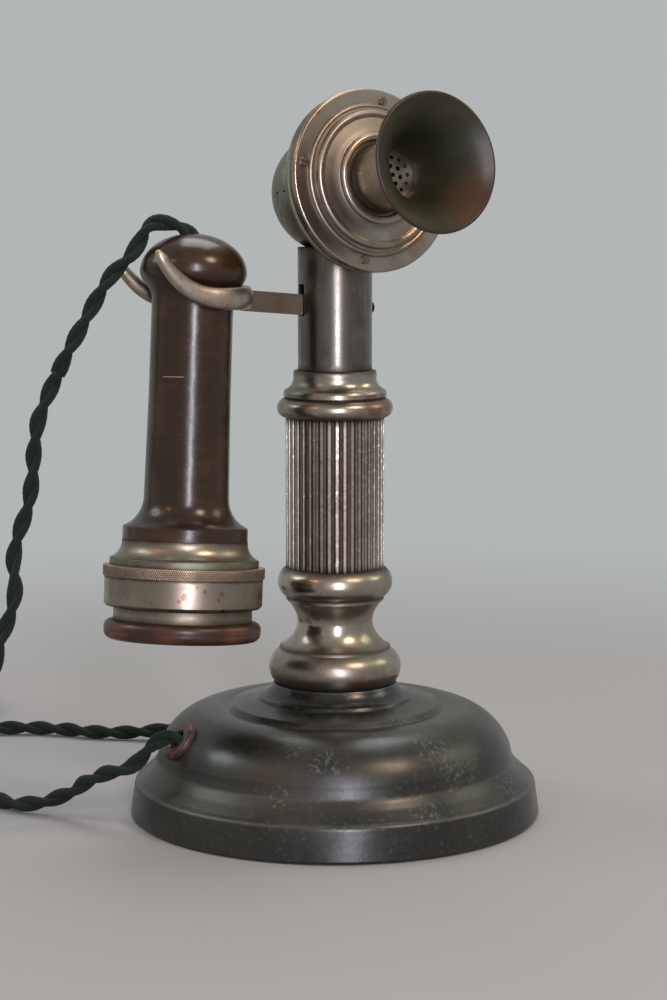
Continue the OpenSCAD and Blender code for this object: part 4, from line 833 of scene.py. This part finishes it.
# Painted shade: darker where the handle meets the ferrule, in a groove above it, and in a band under the
# bulb where the fork holds it.
lay_on(ebonite, share_along(place, height, [(36, 0.7), (37.4, 0.3), (38.4, 0), (41, 0), (42, 0.4),
    (43, 0), (120, 0), (129, 0.5), (134, 0.2), (138, 0)]), "#1f130e", 0.5)
above = add_node(tree, "Math", {0: height, 1: 0.0963}, operation="SUBTRACT")
across = add_node(tree, "Math", {0: above.outputs[0]}, operation="ABSOLUTE")
line = add_node(tree, "MapRange", {"Value": across.outputs[0], "From Min": 0.0002, "From Max": 0.0001})
lay_on(ebonite, line.outputs[0], "#8a6e58", 0.5, marks(place,
    ((-12, -9, 96.3, 2.5), (-9.5, -11.5, 96.3, 2.5))))
fair(ebonite, "receiver_handle")


# ---- Receiver's cup and ferrule
# Turned brass, nickelled. The plate has a greenish cast and is rubbed through to red copper in
# small patches on the cup; the ferrule's steps and joints are darkened with painted shade.
cup_metal = worn_nickel("worn nickel on the receiver", plate="#9b9083", dull="#776c60", rubbed=0.72,
    polish=0.24, haze=0.46, seed=43)
_, place, height, _ = turned_place(cup_metal, receiver_frame)
lay_on(cup_metal, marks(place, ((-10.5, -27.3, 17.6, 1.4), (-12.3, -26.5, 16, 0.9),
    (-3.3, -29, 19.6, 0.9), (3.3, -28.9, 18.8, 1), (2.1, -29, 16.6, 0.8), (22, -19, 18, 1.6),
    (-24, 16, 17, 2), (5, 28.5, 19, 2.2))), "#6c3f2a", 0.36, 0.55)
lay_on(cup_metal, marks(place, ((-18.3, -19.5, 11.9, 0.9), (-14.4, -24.5, 12.3, 0.8),
    (4.1, -28.6, 12.6, 0.9), (20, -20, 12.4, 0.8))), "#2f241c", 0.6)
# Painted shade: darker in the ferrule's steps, under the knurled ring and where the cup meets the ear cap
# and the handle.
lay_on(cup_metal, share_along(place, height, [(6.8, 1), (8.4, 0.5), (9.6, 0.1), (11.6, 0.5), (12.4, 0.65),
    (13.4, 0.1), (15, 0), (22, 0.1), (23.1, 0.9), (27.3, 0.9), (28, 0.5), (29, 0.15), (29.9, 0.75),
    (30.8, 0.2), (33, 0.1), (35.4, 0.3), (36.8, 1)]), "#3f372a", 0.6)
verdigris = patches(place, 0.006, 0.56, 0.1, 9)
in_step = share_along(place, height, [(26, 0), (28, 0.8), (29.6, 0.7), (30.4, 0), (32, 0)])
lay_on(cup_metal, verdigris, "#6f7a63", 0.6, in_step)
fair(cup_metal, "receiver_cup", "receiver_ferrule")


# ---- Receiver's knurled ring
# A turned brass ring that screws the cup to the ferrule. Its rim is knurled with two sets of
# fine slanting lines that cross, 0.8 mm apart, worn flat and darker between the teeth.
ring_r, ring_h, ring_z = 0.02985, 0.0042, 0.0252
knurl_lines, knurl_lead = 234, 0.0014
bpy.ops.mesh.primitive_cylinder_add(vertices=160, radius=ring_r, depth=ring_h, location=(0, 0, ring_z))
ring = bpy.context.object
bpy.ops.object.mode_set(mode="EDIT")
pick(ring, "faces", lambda f: abs(f.normal.z) > 0.9)
bpy.ops.mesh.inset(thickness=0.0046)
bpy.ops.mesh.bridge_edge_loops()
pick(ring, "edges", lambda e: abs(e.verts[0].co.z - e.verts[1].co.z) < 1e-5
    and all(abs(v.co.xy.length - ring_r) < 2e-5 for v in e.verts))
bpy.ops.mesh.bevel(offset=0.00045, segments=4)
bpy.ops.object.mode_set(mode="OBJECT")
finish_piece(ring, "knurled_rim", receiver_frame)
knurl = worn_nickel("knurled nickel ring", plate="#a08f7e", dull="#776656", rubbed=0.66, polish=0.26,
    haze=0.45, seed=47)
tree, place, height, _ = turned_place(knurl, receiver_frame)
surface = tree.nodes["Principled BSDF"]
side = add_node(tree, "SeparateXYZ", {0: place})
angle = add_node(tree, "Math", {0: side.outputs[1], 1: side.outputs[0]}, operation="ARCTAN2")
lines = []
for lean in (-1, 1):
    round_it = add_node(tree, "Math", {0: angle.outputs[0], 1: knurl_lines}, operation="MULTIPLY")
    slant = add_node(tree, "Math", {0: height, 1: lean * 2 * math.pi / knurl_lead,
        2: round_it.outputs[0]}, operation="MULTIPLY_ADD")
    wave = add_node(tree, "Math", {0: slant.outputs[0]}, operation="SINE")
    lines.append(wave.outputs[0])
crossed = add_node(tree, "Math", {0: lines[0], 1: lines[1]}, operation="ADD")
level = add_node(tree, "MapRange", {"Value": crossed.outputs[0], "From Min": -1.6, "From Max": 1.2})
# The knurl is coloured darker between its teeth.
between = add_node(tree, "MapRange", {"Value": level.outputs[0], "From Min": 0.62, "From Max": 0.2})
rim = share_along(place, height, [(22, 0), (23.5, 0), (24, 1), (26.4, 1), (26.9, 0), (28, 0)])
lay_on(knurl, between.outputs[0], "#4a3c30", 0.6, rim)
teeth = add_node(tree, "Bump", {"Strength": 0.7, "Distance": 0.0002, "Height": level.outputs[0]})
tree.links.new(teeth.outputs[0], surface.inputs["Normal"])
ring.data.materials.append(knurl)
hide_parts("knurled_ring")
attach(ring, "receiver")


# ---- Ear cap
# Turned from the same hard rubber, screwed on the cup over the diaphragm. Held to the ear for
# years, it has faded redder than the handle and its edge is polished.
ear_rubber = weathered("reddened hard rubber", 0, "#3f2219", "#2a1812", 0.01, 0.24, 0.4, 0.0014, 0.00003,
    49, {"Specular IOR Level": 0.4})
_, place, height, _ = turned_place(ear_rubber, receiver_frame)
lay_on(ear_rubber, patches(place, 0.007, 0.58, 0.08, 3), "#55301f", 0.28)
# Painted shade: darker at the outer rim, in the groove and most where the cap meets the cup.
lay_on(ear_rubber, share_along(place, height, [(0, 0.3), (0.8, 0.1), (3, 0), (3.6, 0.6), (4.2, 0),
    (6.6, 0.2), (7.3, 0.9)]), "#1c110d", 0.55)
fair(ear_rubber, "ear_cap")


# ---- Works of the receiver
# A black iron diaphragm lies under the ear cap, before two wound pole pieces on a pair of bar
# magnets that a yoke joins in the handle. Brass terminals take the cord.
iron = weathered("black enamelled iron", 0, "#141516", "#1d1e1f", 0.006, 0.3, 0.42, 0.0008, 0.00001, 51)
dress(iron, "receiver_diaphragm")
magnet = weathered("hardened magnet steel", 1, "#4b4c4e", "#35353a", 0.006, 0.4, 0.6, 0.0012, 0.00004, 53)
dress(magnet, "receiver_magnets", "magnet_yoke", "magnet_plate", "pole_pieces")
winding = weathered("enamelled copper wire", 1, "#a05a35", "#7c4226", 0.004, 0.3, 0.42, 0.0004, 0.00003,
    55)
dress(winding, "coil_windings")
dress(brass, "receiver_terminals")


# ---- Floor
# A pale matt sheet under the set, which fades into the backdrop's grey a few steps out.
backdrop_grey = hex_colour("#b3b6b6")
bpy.ops.mesh.primitive_circle_add(vertices=96, radius=4, fill_type="NGON", location=(0, 0, 0))
floor = bpy.context.object
floor.name = "floor"
paper = bpy.data.materials.new("pale backdrop cloth")
paper.use_nodes = True
tree = paper.node_tree
surface = tree.nodes["Principled BSDF"]
surface.inputs["Base Color"].default_value = hex_colour("#929192")
surface.inputs["Roughness"].default_value = 0.9
spot = add_node(tree, "TexCoord")
far = add_node(tree, "VectorMath", {0: spot.outputs["Object"]}, operation="LENGTH")
fade = add_node(tree, "MapRange", {"Value": far.outputs["Value"], "From Min": 0.22, "From Max": 0.75},
    interpolation_type="SMOOTHSTEP")
glow = add_node(tree, "Emission", {"Color": backdrop_grey, "Strength": 1})
both = add_node(tree, "MixShader", {0: fade.outputs[0], 1: surface.outputs[0], 2: glow.outputs[0]})
tree.links.new(both.outputs[0], tree.nodes["Material Output"].inputs["Surface"])
floor.data.materials.append(paper)


# ---- Light
# Plain soft studio light: a tall narrow softbox behind the camera, a warm lamp high on the
# right, dimmer ones at both sides and behind on the left, and a large one overhead.
lit_middle = Vector((0, 0, 0.14))
lamps = (
    ("tall_softbox", (-0.365, -1.19, 0.42), 0.11, 0.8, 12, "#f7f4ff"),
    ("warm_lamp", (0.35, -0.78, 1.05), 0.26, 0.26, 5.5, "#ffe2c4"),
    ("side_lamp", (1.05, -0.25, 0.8), 0.35, 0.35, 1.8, "#e9ecc4"),
    ("amber_lamp", (-1.0, -0.27, 0.95), 0.1, 0.1, 1, "#ffab6b"),
    ("window_lamp", (-0.95, 0.5, 0.9), 0.4, 0.4, 4, "#e4f0ea"),
    ("overhead_lamp", (0.25, 0.4, 1.25), 0.7, 0.7, 6.5, "#ffffff"))
for name, place, size, tall, power, tint in lamps:
    bpy.ops.object.light_add(type="AREA", location=place)
    lamp = bpy.context.object
    lamp.name = name
    lamp.data.shape = "RECTANGLE"
    lamp.data.size, lamp.data.size_y = size, tall
    lamp.data.energy = power
    lamp.data.color = hex_colour(tint)[:3]
    lamp.rotation_euler = (lit_middle - lamp.location).to_track_quat("-Z", "Y").to_euler()

world = bpy.data.worlds.new("studio")
bpy.context.scene.world = world
world.use_nodes = True
tree = world.node_tree
sky = tree.nodes["Background"]
sky.inputs["Color"].default_value = hex_colour("#c4c6c8")
sky.inputs["Strength"].default_value = 0.75
seen = add_node(tree, "Background", {"Color": backdrop_grey, "Strength": 1})
ray = add_node(tree, "LightPath")
either = add_node(tree, "Math", {0: ray.outputs["Is Camera Ray"], 1: ray.outputs["Is Glossy Ray"]},
    operation="MAXIMUM")
any_ray = add_node(tree, "Math", {0: either.outputs[0], 1: ray.outputs["Is Transmission Ray"]},
    operation="MAXIMUM")
both = add_node(tree, "MixShader", {0: any_ray.outputs[0], 1: sky.outputs[0], 2: seen.outputs[0]})
tree.links.new(both.outputs[0], tree.nodes["World Output"].inputs["Surface"])
bpy.context.scene.view_settings.view_transform = "Standard"
